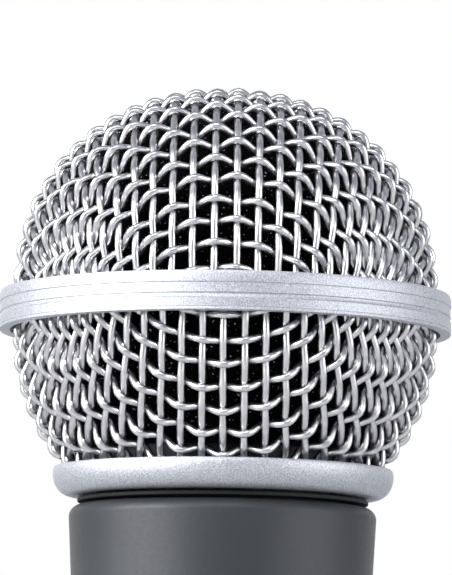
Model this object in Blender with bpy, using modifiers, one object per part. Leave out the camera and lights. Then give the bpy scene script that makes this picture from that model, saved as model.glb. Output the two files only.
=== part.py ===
"""Handheld dynamic vocal microphone: ball grille, moving-coil capsule, tapered handle, three-pin inlet.

Metres, +Z up. The microphone stands on its tail, with the origin at the centre of the tail face.
"""
import math

import bmesh
import bpy
import numpy as np
from mathutils import Matrix, Vector

MM = 0.001

# Gap kept between pieces that touch
CLEAR = 0.3 * MM

# Contact pins and plug socket in the tail
PIN_RADIUS = 1.2 * MM
PIN_CIRCLE_RADIUS = 4.75 * MM
PIN_ANGLES = (145, 35, 270)
PIN_LENGTH = 12.5 * MM
PIN_TIP = 0.5 * MM
SOLDER_CUP_LENGTH = 3.5 * MM
SOLDER_CUP_WALL = 0.4 * MM
SOCKET_MARGIN = 2.15 * MM
SOCKET_RECESS = 2.0 * MM
SOCKET_CHAMFER = 0.5 * MM
INSERT_LENGTH = 8.0 * MM
LOCK_SCREW_RADIUS = 1.3 * MM
LOCK_SCREW_RECESS = 0.6 * MM

# Ball grille
BALL_RADIUS = 24.15 * MM
DOME_RISE = 23.6 * MM
CENTRE_SPACING = 3.8 * MM
WIRE_RADIUS = 0.4 * MM
WIRE_PITCH = 4.1 * MM
RIM_HEIGHT = 1.15 * MM
RIM_WALL = 1.4 * MM
BAND_WALL = 1.2 * MM
BAND_ABOVE = 0.2 * MM
BAND_BELOW = 0.8 * MM
BAND_LIP_HEIGHT = 1.65 * MM
BAND_RECESS_DEPTH = 0.2 * MM
BAND_EDGE = 0.6 * MM
INNER_RING_WALL = 0.5 * MM
FOAM_WALL = 2.6 * MM

# Base collar of the grille
COLLAR_RADIUS = 19.2 * MM
COLLAR_HEIGHT = 3.2 * MM
COLLAR_EDGE = 0.7 * MM
COLLAR_BEAD = 1.9 * MM
COLLAR_LIP = 0.55 * MM
MESH_SEAT = 0.35 * MM
CRIMP_RING_WALL = 0.6 * MM
CRIMP_RING_RISE = 1.9 * MM

# Handle
HANDLE_LENGTH = 114.7 * MM
TAIL_WALL = 3.4 * MM
TAIL_EDGE = 0.9 * MM
SHOULDER_STEP = 1.9 * MM
SHOULDER_EDGE = 1.4 * MM
NECK_WALL = 1.8 * MM
NECK_HEIGHT = 5.4 * MM
NECK_CHAMFER = 0.5 * MM
NECK_BORE_DEPTH = 12.0 * MM
BORE_STEP = 0.9 * MM
WASHER_HEIGHT = 0.45 * MM
WASHER_WIDTH = 2.0 * MM

# Shock mount and rear chamber under the capsule
MOUNT_THICKNESS = 2.6 * MM
MOUNT_SKIN = 0.7 * MM
MOUNT_FLANGE = 1.2 * MM
MOUNT_DEPTH = 7.0 * MM
CHAMBER_LENGTH = 24.0 * MM
CHAMBER_WALL = 1.1 * MM
BOARD_HEIGHT = 1.5 * MM
BOARD_MARGIN = 2.4 * MM
TERMINAL_RADIUS = 0.6 * MM
TERMINAL_LENGTH = 4.0 * MM
TERMINAL_SPACING = 6.0 * MM

# Moving-coil capsule, from the magnet outwards and from the floor upwards
MAGNET_RADIUS = 5.0 * MM
MAGNET_HEIGHT = 6.2 * MM
POLE_OVERHANG = 0.4 * MM
POLE_HEIGHT = 2.6 * MM
POLE_VENT = 1.0 * MM
COIL_WALL = 0.6 * MM
COIL_DEPTH = 2.0 * MM
TOP_PLATE_WIDTH = 2.6 * MM
TOP_PLATE_HEIGHT = 2.3 * MM
YOKE_WALL = 1.5 * MM
YOKE_FLOOR = 2.2 * MM
HOUSING_WALL = 2.8 * MM
HOUSING_FLOOR = 1.5 * MM
HOUSING_LIP = 1.2 * MM
SPIGOT_LENGTH = 3.0 * MM
SPIGOT_WALL = 1.4 * MM
SLOT_COUNT = 8
SLOT_WIDTH = 3.6 * MM
SLOT_HEIGHT = 5.0 * MM
SCREEN_WALL = 0.4 * MM
SCREEN_MARGIN = 0.9 * MM
DIAPHRAGM_THICKNESS = 0.25 * MM
DIAPHRAGM_DOME = 1.6 * MM
DIAPHRAGM_ROLL = 0.8 * MM
DIAPHRAGM_RIM = 0.9 * MM
DIAPHRAGM_TRAVEL = 0.15 * MM
DIAPHRAGM_SEAT = 1.6 * MM
CLAMP_HEIGHT = 1.0 * MM
CLOTH_THICKNESS = 0.4 * MM
CAP_WALL = 1.2 * MM
CAP_SKIRT = 2.2 * MM
CAP_CROWN = 3.2 * MM
CAP_HOLE_RADIUS = 1.3 * MM
CAP_HOLE_COUNT = 6
CAP_HOLE_CIRCLE = 6.0 * MM

# Output transformer in the handle
CORE_LEG = 4.0 * MM
CORE_WINDOW = 3.0 * MM
CORE_WINDOW_HEIGHT = 8.0 * MM
CORE_STACK = 8.0 * MM
PAD_HEIGHT = 4.0 * MM
PAD_HOLE_RADIUS = 3.0 * MM
LEAD_RADIUS = 0.5 * MM
LEAD_BOW = 2.0 * MM
LEAD_POINTS = 9

# Facets round the turned pieces
OUTER_FACETS = 32
INNER_FACETS = 16
PIN_FACETS = 10
ARC_FACETS = 2
BEAD_FACETS = 4

# Least distance from a wire's end to its next crossing, in net steps
END_MARGIN = 0.4

# Radii and heights that follow from the sizes above
SOCKET_RADIUS = PIN_CIRCLE_RADIUS + PIN_RADIUS + SOCKET_MARGIN
TAIL_RADIUS = SOCKET_RADIUS + TAIL_WALL
INSERT_FACE = SOCKET_RECESS + PIN_LENGTH
INSERT_TOP = INSERT_FACE + INSERT_LENGTH
PIN_TOP = INSERT_TOP + SOLDER_CUP_LENGTH
SHOULDER_RADIUS = COLLAR_RADIUS - SHOULDER_STEP

WASHER_BOTTOM = HANDLE_LENGTH + CLEAR
COLLAR_BOTTOM = WASHER_BOTTOM + WASHER_HEIGHT + CLEAR
COLLAR_TOP = COLLAR_BOTTOM + COLLAR_HEIGHT

CRIMP = WIRE_RADIUS + CLEAR / 6
CROWN = CRIMP + WIRE_RADIUS
NET_RADIUS = BALL_RADIUS - CROWN
NET_RISE = DOME_RISE - CROWN
LIP_RADIUS = COLLAR_RADIUS - COLLAR_LIP
MOUTH_RADIUS = LIP_RADIUS - CLEAR
LOWER_CENTRE = COLLAR_TOP + math.sqrt(BALL_RADIUS**2 - MOUTH_RADIUS**2)
UPPER_CENTRE = LOWER_CENTRE + CENTRE_SPACING
MESH_END = COLLAR_TOP - MESH_SEAT
GROOVE_FLOOR = MESH_END - WIRE_RADIUS - CLEAR
CRIMP_RING_TOP = COLLAR_TOP + CRIMP_RING_RISE

# The crimp ring and the neck pass inside the lowest wires
WIRE_REACH = LOWER_CENTRE - MESH_END + WIRE_RADIUS
CRIMP_RING_RADIUS = math.sqrt((BALL_RADIUS - 2 * CROWN) ** 2 - WIRE_REACH**2) - CLEAR
COLLAR_BORE = CRIMP_RING_RADIUS - CRIMP_RING_WALL
NECK_RADIUS = COLLAR_BORE - CLEAR
NECK_BORE = NECK_RADIUS - NECK_WALL
NECK_TOP = HANDLE_LENGTH + NECK_HEIGHT

BAND_TOP = UPPER_CENTRE + BAND_ABOVE
BAND_BOTTOM = LOWER_CENTRE - BAND_BELOW
BAND_MIDDLE = (UPPER_CENTRE + LOWER_CENTRE) / 2
RIM_OUTER = NET_RADIUS + RIM_WALL / 2
RIM_INNER = NET_RADIUS - RIM_WALL / 2
BAND_INNER = RIM_OUTER + CLEAR
BAND_RADIUS = BAND_INNER + BAND_WALL
FOAM_RADIUS = RIM_INNER - CLEAR - INNER_RING_WALL - CLEAR

MOUNT_TOP = NECK_TOP + CLEAR + MOUNT_FLANGE
MOUNT_OUTER = NECK_BORE - CLEAR
MOUNT_INNER = MOUNT_OUTER - MOUNT_THICKNESS
CHAMBER_RADIUS = MOUNT_INNER - CLEAR
HOUSING_BOTTOM = MOUNT_TOP + CLEAR
CHAMBER_TOP = HOUSING_BOTTOM - CLEAR
CHAMBER_BOTTOM = CHAMBER_TOP - CHAMBER_LENGTH
BOARD_BOTTOM = CHAMBER_BOTTOM - CLEAR - BOARD_HEIGHT
TERMINAL_BOTTOM = BOARD_BOTTOM - TERMINAL_LENGTH

YOKE_BOTTOM = HOUSING_BOTTOM + HOUSING_FLOOR + CLEAR
MAGNET_BOTTOM = YOKE_BOTTOM + YOKE_FLOOR + CLEAR
MAGNET_TOP = MAGNET_BOTTOM + MAGNET_HEIGHT
POLE_BOTTOM = MAGNET_TOP + CLEAR
POLE_TOP = POLE_BOTTOM + POLE_HEIGHT
TOP_PLATE_BOTTOM = POLE_TOP - TOP_PLATE_HEIGHT
YOKE_TOP = TOP_PLATE_BOTTOM - CLEAR
POLE_RADIUS = MAGNET_RADIUS + POLE_OVERHANG
COIL_INNER = POLE_RADIUS + CLEAR
COIL_OUTER = COIL_INNER + COIL_WALL
TOP_PLATE_INNER = COIL_OUTER + CLEAR
YOKE_RADIUS = TOP_PLATE_INNER + TOP_PLATE_WIDTH
HOUSING_INNER = YOKE_RADIUS + CLEAR
HOUSING_RADIUS = HOUSING_INNER + HOUSING_WALL
SEAT_TOP = POLE_TOP + DIAPHRAGM_SEAT
RIM_BOTTOM = SEAT_TOP + CLEAR + DIAPHRAGM_TRAVEL
CLAMP_BOTTOM = RIM_BOTTOM + DIAPHRAGM_THICKNESS + CLEAR + DIAPHRAGM_TRAVEL
CLAMP_RADIUS = HOUSING_RADIUS - HOUSING_LIP - CLEAR
HOUSING_TOP = CLAMP_BOTTOM + CLAMP_HEIGHT
CAP_BOTTOM = HOUSING_TOP + CLEAR
CAP_SHOULDER = CAP_BOTTOM + CAP_SKIRT
CAP_TOP = CAP_SHOULDER + CAP_CROWN
SLOT_MIDDLE = (YOKE_BOTTOM + YOKE_TOP) / 2

TRANSFORMER_MIDDLE = (PIN_TOP + TERMINAL_BOTTOM) / 2
CORE_HALF_WIDTH = CORE_LEG + CORE_WINDOW
CORE_HALF_HEIGHT = (CORE_WINDOW_HEIGHT + CORE_LEG) / 2

for old in list(bpy.data.objects):
    bpy.data.objects.remove(old, do_unlink=True)

PARTS = bpy.data.collections.new("dynamic_microphone")
CUTTERS = bpy.data.collections.new("cutters")
bpy.context.scene.collection.children.link(PARTS)
bpy.context.scene.collection.children.link(CUTTERS)


def finish(name, colour, roughness, metallic=0.0):
    """A plain surface of one colour."""
    material = bpy.data.materials.new(name)
    material.use_nodes = True
    shader = material.node_tree.nodes["Principled BSDF"]
    shader.inputs["Base Color"].default_value = (*colour, 1.0)
    shader.inputs["Roughness"].default_value = roughness
    shader.inputs["Metallic"].default_value = metallic
    return material


SATIN_SILVER = finish("satin_silver", (0.62, 0.63, 0.65), 0.38, 1.0)
BRIGHT_WIRE = finish("plated_wire", (0.70, 0.70, 0.71), 0.28, 1.0)
GREY_ENAMEL = finish("grey_enamel", (0.045, 0.047, 0.05), 0.5)
BLACK_FOAM = finish("black_foam", (0.012, 0.012, 0.013), 0.95)
BLACK_RUBBER = finish("black_rubber", (0.02, 0.02, 0.02), 0.75)
BLACK_PLASTIC = finish("black_plastic", (0.02, 0.02, 0.022), 0.45)
GREY_CLOTH = finish("grey_cloth", (0.18, 0.18, 0.17), 0.95)
SOFT_IRON = finish("soft_iron", (0.35, 0.36, 0.37), 0.4, 1.0)
MAGNET_GREY = finish("magnet_grey", (0.2, 0.2, 0.21), 0.45, 1.0)
COPPER = finish("copper", (0.62, 0.27, 0.12), 0.35, 1.0)
CLEAR_FILM = finish("polyester_film", (0.55, 0.52, 0.42), 0.25)
GOLD_CONTACT = finish("plated_contact", (0.75, 0.72, 0.66), 0.25, 1.0)
BOARD_BROWN = finish("board_brown", (0.20, 0.11, 0.05), 0.6)
LEAD_RED = finish("lead_red", (0.35, 0.02, 0.02), 0.45)
LEAD_WHITE = finish("lead_white", (0.7, 0.7, 0.68), 0.45)


def carrier(name):
    """An empty on the microphone's axis that carries one moving group."""
    empty = bpy.data.objects.new(name, None)
    PARTS.objects.link(empty)
    return empty


HANDLE = carrier("handle_axis")
WASHER = carrier("washer_axis")
GRILLE = carrier("grille_axis")
CAPSULE = carrier("capsule_axis")
DIAPHRAGM = carrier("diaphragm_axis")
WASHER.parent = HANDLE
GRILLE.parent = WASHER
CAPSULE.parent = HANDLE
DIAPHRAGM.parent = CAPSULE


def bake(piece):
    """Give a piece the mesh that its modifiers make, shaded smooth with sharp corners."""
    bpy.context.view_layer.update()
    depsgraph = bpy.context.evaluated_depsgraph_get()
    mesh = bpy.data.meshes.new_from_object(piece.evaluated_get(depsgraph))
    piece.modifiers.clear()
    piece.data = mesh
    mesh.shade_smooth()
    mesh.set_sharp_from_angle(angle=math.radians(35))


def add_piece(name, data, material, parent):
    """Link one sub-part to its carrier and give it its finish."""
    piece = bpy.data.objects.new(name, data)
    PARTS.objects.link(piece)
    piece.parent = parent
    data.materials.append(material)
    return piece


def turned(name, outline, material, parent, facets=INNER_FACETS):
    """Turn an outline of (radius, height) about +Z: outer side downwards, closed unless it meets the axis."""
    mesh = bpy.data.meshes.new(name)
    count = len(outline)
    edges = [(i, i + 1) for i in range(count - 1)]
    if outline[0][0] > 0 or outline[-1][0] > 0:
        edges.append((count - 1, 0))
    mesh.from_pydata([(radius, 0.0, height) for radius, height in outline], edges, [])
    piece = add_piece(name, mesh, material, parent)
    screw = piece.modifiers.new("turn", "SCREW")
    screw.axis = "Z"
    screw.angle = math.tau
    screw.steps = facets
    screw.render_steps = facets
    screw.use_merge_vertices = True
    screw.merge_threshold = 0.000001
    bake(piece)
    return piece


def ring(inner, outer, bottom, top):
    """Outline of a plain ring."""
    return [(outer, top), (outer, bottom), (inner, bottom), (inner, top)]


def disc(radius, bottom, top):
    """Outline of a plain disc."""
    return [(0.0, top), (radius, top), (radius, bottom), (0.0, bottom)]


def arc(centre, radii, start, end, count=ARC_FACETS):
    """Points along an elliptic arc in the (radius, height) plane, angles in degrees from the outward side."""
    points = []
    for i in range(count + 1):
        angle = math.radians(start + (end - start) * i / count)
        radius = max(centre[0] + radii[0] * math.cos(angle), 0.0)
        points.append((radius, centre[1] + radii[1] * math.sin(angle)))
    return points


def cutter(name, build):
    """A hidden mesh that the build function fills with closed shapes to be cut away."""
    mesh = bpy.data.meshes.new(name)
    shape = bmesh.new()
    build(shape)
    shape.to_mesh(mesh)
    shape.free()
    tool = bpy.data.objects.new(name, mesh)
    CUTTERS.objects.link(tool)
    tool.hide_render = True
    tool.display_type = "WIRE"
    return tool


def combine(piece, tool, operation):
    """Cut a piece with a tool, or join the tool to it."""
    boolean = piece.modifiers.new(operation.lower(), "BOOLEAN")
    boolean.operation = operation
    boolean.object = tool
    boolean.solver = "EXACT"
    boolean.use_self = operation == "UNION"
    bake(piece)


def add_rod(shape, radius, start, end, facets=PIN_FACETS):
    """Add a closed cylinder between two points to a bmesh."""
    start = np.array(start, dtype=float)
    end = np.array(end, dtype=float)
    length = float(np.linalg.norm(end - start))
    made = bmesh.ops.create_cone(
        shape, cap_ends=True, segments=facets, radius1=radius, radius2=radius, depth=length)
    turn = Vector((0, 0, 1)).rotation_difference(Vector(end - start)).to_matrix()
    bmesh.ops.rotate(shape, verts=made["verts"], cent=(0, 0, 0), matrix=turn)
    bmesh.ops.translate(shape, verts=made["verts"], vec=tuple((start + end) / 2))


def flat_outline(name, loops, thickness, material, parent):
    """Extrude closed loops of (x, y) points, outer loop first, holes after it."""
    curve = bpy.data.curves.new(name, "CURVE")
    curve.dimensions = "2D"
    curve.fill_mode = "BOTH"
    curve.extrude = thickness / 2
    for loop in loops:
        spline = curve.splines.new("POLY")
        spline.points.add(len(loop) - 1)
        for point, (x, y) in zip(spline.points, loop):
            point.co = (x, y, 0.0, 1.0)
        spline.use_cyclic_u = True
    return add_piece(name, curve, material, parent)


def rectangle(half_width, half_height, centre_x=0.0):
    """Corners of an upright rectangle."""
    return [(centre_x - half_width, -half_height), (centre_x + half_width, -half_height),
            (centre_x + half_width, half_height), (centre_x - half_width, half_height)]


def circle(radius, centre_x=0.0, facets=INNER_FACETS):
    """Points round a circle."""
    return [(centre_x + radius * math.cos(math.tau * i / facets), radius * math.sin(math.tau * i / facets))
            for i in range(facets)]


def handle_radius(height):
    """Outer radius of the straight taper from the tail to the shoulder."""
    return TAIL_RADIUS + (SHOULDER_RADIUS - TAIL_RADIUS) * height / HANDLE_LENGTH


BORE_BOTTOM = INSERT_TOP + BORE_STEP + CLEAR
BORE_TOP = NECK_TOP - NECK_BORE_DEPTH


def bore_radius(height):
    """Inner radius of the hollow between the connector and the neck."""
    low = SOCKET_RADIUS + BORE_STEP
    return low + (NECK_BORE - low) * (height - BORE_BOTTOM) / (BORE_TOP - BORE_BOTTOM)


# Handle shell: one die casting with the plug socket, the hollow for the transformer and the grille's neck
LOCK_SCREW_HEIGHT = (INSERT_FACE + INSERT_TOP) / 2
handle_outline = [
    (NECK_BORE, NECK_TOP),
    (NECK_RADIUS - NECK_CHAMFER, NECK_TOP),
    (NECK_RADIUS, NECK_TOP - NECK_CHAMFER),
    (NECK_RADIUS, HANDLE_LENGTH),
    *arc((SHOULDER_RADIUS - SHOULDER_EDGE, HANDLE_LENGTH - SHOULDER_EDGE),
         (SHOULDER_EDGE, SHOULDER_EDGE), 90, 0),
    *arc((handle_radius(TAIL_EDGE) - TAIL_EDGE, TAIL_EDGE), (TAIL_EDGE, TAIL_EDGE), 0, -90),
    (SOCKET_RADIUS + SOCKET_CHAMFER, 0.0),
    (SOCKET_RADIUS, SOCKET_CHAMFER),
    (SOCKET_RADIUS, INSERT_TOP + CLEAR),
    (bore_radius(BORE_BOTTOM), BORE_BOTTOM),
    (NECK_BORE, BORE_TOP),
]
handle_shell = turned("handle_shell", handle_outline, GREY_ENAMEL, HANDLE, OUTER_FACETS)
screw_hole = cutter("lock_screw_hole", lambda shape: add_rod(
    shape, LOCK_SCREW_RADIUS + CLEAR,
    (0.0, PIN_CIRCLE_RADIUS, LOCK_SCREW_HEIGHT), (0.0, 2 * TAIL_RADIUS, LOCK_SCREW_HEIGHT)))
combine(handle_shell, screw_hole, "DIFFERENCE")

# Connector: insulating insert, three pins with solder cups, and the screw that locks it in the tail
connector_insert = turned(
    "connector_insert", disc(SOCKET_RADIUS - CLEAR, INSERT_FACE, INSERT_TOP), BLACK_PLASTIC, HANDLE)
pin_places = []
for angle in PIN_ANGLES:
    pin_places.append((PIN_CIRCLE_RADIUS * math.cos(math.radians(angle)),
                       PIN_CIRCLE_RADIUS * math.sin(math.radians(angle))))


def add_pin_holes(shape):
    """Three through holes for the pins."""
    for x, y in pin_places:
        add_rod(shape, PIN_RADIUS + CLEAR,
                (x, y, INSERT_FACE - INSERT_LENGTH), (x, y, INSERT_TOP + INSERT_LENGTH))


combine(connector_insert, cutter("pin_holes", add_pin_holes), "DIFFERENCE")
pin_outline = [
    (0.0, PIN_TOP - SOLDER_CUP_LENGTH),
    (PIN_RADIUS - SOLDER_CUP_WALL, PIN_TOP - SOLDER_CUP_LENGTH),
    (PIN_RADIUS - SOLDER_CUP_WALL, PIN_TOP),
    (PIN_RADIUS, PIN_TOP),
    *arc((PIN_RADIUS - PIN_TIP, SOCKET_RECESS + PIN_TIP), (PIN_TIP, PIN_TIP), 0, -90),
    (0.0, SOCKET_RECESS),
]
for number, (x, y) in enumerate(pin_places, start=1):
    pin = turned(f"contact_pin_{number}", pin_outline, GOLD_CONTACT, HANDLE, PIN_FACETS)
    pin.location = (x, y, 0.0)

lock_screw_mesh = bpy.data.meshes.new("connector_lock_screw")
lock_screw_shape = bmesh.new()
add_rod(lock_screw_shape, LOCK_SCREW_RADIUS, (0.0, SOCKET_RADIUS, LOCK_SCREW_HEIGHT),
        (0.0, handle_radius(LOCK_SCREW_HEIGHT) - LOCK_SCREW_RECESS, LOCK_SCREW_HEIGHT))
lock_screw_shape.to_mesh(lock_screw_mesh)
lock_screw_shape.free()
add_piece("connector_lock_screw", lock_screw_mesh, SOFT_IRON, HANDLE)

# Transformer: laminated core with two windows, winding round its middle leg, and a soft pad at each end
core = flat_outline(
    "transformer_core",
    [rectangle(CORE_HALF_WIDTH, CORE_HALF_HEIGHT),
     rectangle(CORE_WINDOW / 2, CORE_WINDOW_HEIGHT / 2, (CORE_LEG + CORE_WINDOW) / 2),
     rectangle(CORE_WINDOW / 2, CORE_WINDOW_HEIGHT / 2, -(CORE_LEG + CORE_WINDOW) / 2)],
    CORE_STACK, SOFT_IRON, HANDLE)
core.location = (0.0, 0.0, TRANSFORMER_MIDDLE)
core.rotation_euler = (math.radians(90), 0.0, 0.0)
winding_build = CORE_WINDOW - 2 * CLEAR
winding = flat_outline(
    "transformer_winding",
    [rectangle(CORE_LEG / 2 + CLEAR + winding_build, CORE_STACK / 2 + CLEAR + winding_build),
     rectangle(CORE_LEG / 2 + CLEAR, CORE_STACK / 2 + CLEAR)],
    CORE_WINDOW_HEIGHT - 2 * CLEAR, COPPER, HANDLE)
winding.location = (0.0, 0.0, TRANSFORMER_MIDDLE)
pad_gap = CORE_HALF_HEIGHT + CLEAR
for name, bottom in (("transformer_pad_upper", TRANSFORMER_MIDDLE + pad_gap),
                     ("transformer_pad_lower", TRANSFORMER_MIDDLE - pad_gap - PAD_HEIGHT)):
    turned(name, ring(PAD_HOLE_RADIUS, bore_radius(bottom) - CLEAR, bottom, bottom + PAD_HEIGHT),
           BLACK_FOAM, HANDLE)


def lead(name, start, end, material):
    """An insulated wire that leaves both ends upright and bows outwards on its way."""
    curve = bpy.data.curves.new(name, "CURVE")
    curve.dimensions = "3D"
    curve.bevel_depth = LEAD_RADIUS
    curve.bevel_resolution = 1
    curve.use_fill_caps = True
    spline = curve.splines.new("POLY")
    spline.points.add(LEAD_POINTS - 1)
    outward = math.atan2(start[1] + end[1], start[0] + end[0])
    for i, point in enumerate(spline.points):
        share = i / (LEAD_POINTS - 1)
        ease = share * share * (3 - 2 * share)
        bow = LEAD_BOW * math.sin(math.pi * share) ** 2
        point.co = (start[0] + (end[0] - start[0]) * ease + bow * math.cos(outward),
                    start[1] + (end[1] - start[1]) * ease + bow * math.sin(outward),
                    start[2] + (end[2] - start[2]) * share, 1.0)
    add_piece(name, curve, material, HANDLE)


for name, side, material in (("capsule_lead_hot", 1, LEAD_RED), ("capsule_lead_return", -1, LEAD_WHITE)):
    lead(name, (side * TERMINAL_SPACING / 2, 0.0, TERMINAL_BOTTOM - CLEAR),
         (side * PAD_HOLE_RADIUS / 2, 0.0, TRANSFORMER_MIDDLE + pad_gap), material)
for number, (x, y) in enumerate(pin_places, start=1):
    reach = PAD_HOLE_RADIUS / 2 / PIN_CIRCLE_RADIUS
    lead(f"output_lead_{number}", (x * reach, y * reach, TRANSFORMER_MIDDLE - pad_gap),
         (x, y, PIN_TOP + CLEAR), LEAD_WHITE if number == 1 else LEAD_RED)

# Friction washer between the handle's shoulder and the collar
turned("collar_washer",
       ring(COLLAR_BORE, COLLAR_BORE + WASHER_WIDTH, WASHER_BOTTOM, WASHER_BOTTOM + WASHER_HEIGHT),
       BLACK_RUBBER, WASHER, OUTER_FACETS)

# Base collar: a rounded bead with a groove in its top for the ends of the lower wires
BEAD_WIDEST = COLLAR_TOP - COLLAR_EDGE
bead_drop = BEAD_WIDEST - COLLAR_BOTTOM
collar_outline = [
    (LIP_RADIUS, COLLAR_TOP),
    *arc((COLLAR_RADIUS - COLLAR_LIP / 2, BEAD_WIDEST), (COLLAR_LIP / 2, COLLAR_EDGE), 90, 0),
    *arc((COLLAR_RADIUS - COLLAR_BEAD, BEAD_WIDEST), (COLLAR_BEAD, bead_drop), 0, -90, BEAD_FACETS)[1:],
    (COLLAR_BORE, COLLAR_BOTTOM),
    (COLLAR_BORE, GROOVE_FLOOR),
    (LIP_RADIUS, GROOVE_FLOOR),
]
turned("grille_collar", collar_outline, SATIN_SILVER, GRILLE, OUTER_FACETS)
turned("crimp_ring", ring(COLLAR_BORE, CRIMP_RING_RADIUS, GROOVE_FLOOR + CLEAR, CRIMP_RING_TOP),
       SOFT_IRON, GRILLE, OUTER_FACETS)


def meridian(angle, rise):
    """A point of the dome's section: a quarter ellipse, then a straight skirt below its edge."""
    if angle < math.pi / 2:
        return np.array((NET_RADIUS * math.sin(angle), 0.0, rise * math.cos(angle)))
    return np.array((NET_RADIUS, 0.0, (math.pi / 2 - angle) * NET_RADIUS))


def dome_normal(point, rise):
    """How far a point lies off the dome, and the direction straight out of it."""
    height = max(point[2], 0.0)
    miss = (point[0] ** 2 + point[1] ** 2) / NET_RADIUS**2 + (height / rise) ** 2 - 1.0
    slope = np.array((point[0] / NET_RADIUS**2, point[1] / NET_RADIUS**2, height / rise**2))
    return miss, slope


def net_knot(beside, before, behind, step, rise):
    """The fourth corner of a net cell on the dome, one step from two knots that are known."""
    knot = beside + before - behind
    for _ in range(8):
        miss, slope = dome_normal(knot, rise)
        rows = np.array((2 * slope, 2 * (knot - beside), 2 * (knot - before)))
        misses = np.array((miss, np.sum((knot - beside) ** 2) - step**2,
                           np.sum((knot - before) ** 2) - step**2))
        knot = knot - np.linalg.solve(rows, misses)
    return knot


def meridian_knots(step, rise, depth):
    """Knots one step apart down the section, to the first one below the depth."""
    knots = [meridian(0.0, rise)]
    angle = 0.0
    while knots[-1][2] > -depth:
        low = angle
        high = angle + math.pi / 4
        for _ in range(40):
            angle = (low + high) / 2
            if np.linalg.norm(meridian(angle, rise) - knots[-1]) < step:
                low = angle
            else:
                high = angle
        knots.append(meridian(angle, rise))
    return knots


def net_quarter(step, rise, depth):
    """Rows of knots of square cloth over a quarter of the dome, each to its first knot below the depth."""
    first = meridian_knots(step, rise, depth)
    rows = [first]
    for across in first[1:]:
        before = rows[-1]
        row = [np.array((across[1], across[0], across[2]))]
        while row[-1][2] > -depth and len(row) < len(before):
            i = len(row)
            row.append(net_knot(row[i - 1], before[i], before[i - 1], step, rise))
        rows.append(row)
        if row[0][2] <= -depth:
            break
    return rows


def crossing_place(row, height):
    """Place along a row where it sinks through a height."""
    for i in range(len(row) - 1):
        if row[i][2] > height >= row[i + 1][2]:
            return i + (row[i][2] - height) / (row[i][2] - row[i + 1][2])
    return None


def wire_point(rows, place, number, first, rise, over):
    """A point at a signed place along a signed row, raised or sunk from the dome by the weave."""
    row = rows[abs(number)]
    low = min(int(abs(place)), len(row) - 2)
    base = row[low] + (row[low + 1] - row[low]) * (abs(place) - low)
    base = base * np.array((math.copysign(1, place), math.copysign(1, number), 1))
    slope = dome_normal(base, rise)[1]
    weave = over * CRIMP * math.cos(math.pi * (place + number - 2 * first) / 2)
    return base + slope / np.linalg.norm(slope) * weave


def wire_runs(rows, number, first, depth, mouth):
    """Places along one wire: both ends and each crossing, in two runs where the mouth cuts it."""
    row = rows[abs(number)]
    end = crossing_place(row, -depth)
    if end is None or row[0][2] < RIM_HEIGHT:
        return []
    knots = [i for i in range(-len(row), len(row)) if (i - first) % 2 == 0 and abs(i) < end - END_MARGIN]
    if row[0][2] <= mouth:
        return [[-end, *knots, end]]
    start = crossing_place(row, mouth)
    return [[start, *[i for i in knots if i > start + END_MARGIN], end],
            [-end, *[i for i in knots if i < -start - END_MARGIN], -start]]


def woven_half(name, first, rise, depth, mouth, centre, up):
    """Cloth of one half ball: wires both ways, joined by the rim that the band hides."""
    rows = net_quarter(WIRE_PITCH / 2, rise, depth)
    curve = bpy.data.curves.new(name, "CURVE")
    curve.dimensions = "3D"
    curve.bevel_mode = "OBJECT"
    curve.bevel_object = wire_section
    curve.use_fill_caps = True
    reach = len(rows) - 1
    for number in range(-reach, reach + 1):
        if (number - first) % 2:
            continue
        for run in wire_runs(rows, number, first, depth, mouth):
            for over in (1, -1):
                points = [wire_point(rows, place, number, first, rise, over) for place in run]
                spline = curve.splines.new("POLY")
                spline.points.add(len(points) - 1)
                for point, (x, y, z) in zip(spline.points, points):
                    x, y = (x, y) if over > 0 else (y, x)
                    point.co = (x, y, centre + up * z, 1.0)
    guide = bpy.data.objects.new(name + "_wires", curve)
    CUTTERS.objects.link(guide)
    bpy.context.view_layer.update()
    mesh = bpy.data.meshes.new_from_object(guide.evaluated_get(bpy.context.evaluated_depsgraph_get()))
    bpy.data.objects.remove(guide)
    shape = bmesh.new()
    shape.from_mesh(mesh)
    bmesh.ops.remove_doubles(shape, verts=shape.verts, dist=0.000001)
    bmesh.ops.recalc_face_normals(shape, faces=shape.faces)
    shape.to_mesh(mesh)
    shape.free()
    wires = bpy.data.objects.new(name + "_wires", mesh)
    CUTTERS.objects.link(wires)
    wires.hide_render = True
    wires.display_type = "WIRE"
    middle = centre - up * depth
    cloth = turned(name, ring(RIM_INNER, RIM_OUTER, middle - RIM_HEIGHT / 2, middle + RIM_HEIGHT / 2),
                   BRIGHT_WIRE, GRILLE, OUTER_FACETS)
    combine(cloth, wires, "UNION")
    return cloth


# Woven wire: a three-sided section swept along every wire
section_curve = bpy.data.curves.new("wire_section", "CURVE")
section_curve.dimensions = "2D"
section_spline = section_curve.splines.new("POLY")
section_spline.points.add(2)
for section_point, (x, y) in zip(section_spline.points, circle(WIRE_RADIUS, facets=3)):
    section_point.co = (x, y, 0.0, 1.0)
section_spline.use_cyclic_u = True
wire_section = bpy.data.objects.new("wire_section", section_curve)
CUTTERS.objects.link(wire_section)
wire_section.hide_render = True
wire_section.display_type = "WIRE"

# The two half balls: the upper one has a gap at its pole, the lower one is open where the collar holds it
RIM_DEPTH = CENTRE_SPACING / 2 - INNER_RING_WALL / 2 - CLEAR - RIM_HEIGHT / 2
woven_half("upper_mesh", 1, NET_RISE, RIM_DEPTH, NET_RISE, UPPER_CENTRE, 1)
woven_half("lower_mesh", 0, NET_RADIUS, RIM_DEPTH, LOWER_CENTRE - MESH_END, LOWER_CENTRE, -1)

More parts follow.
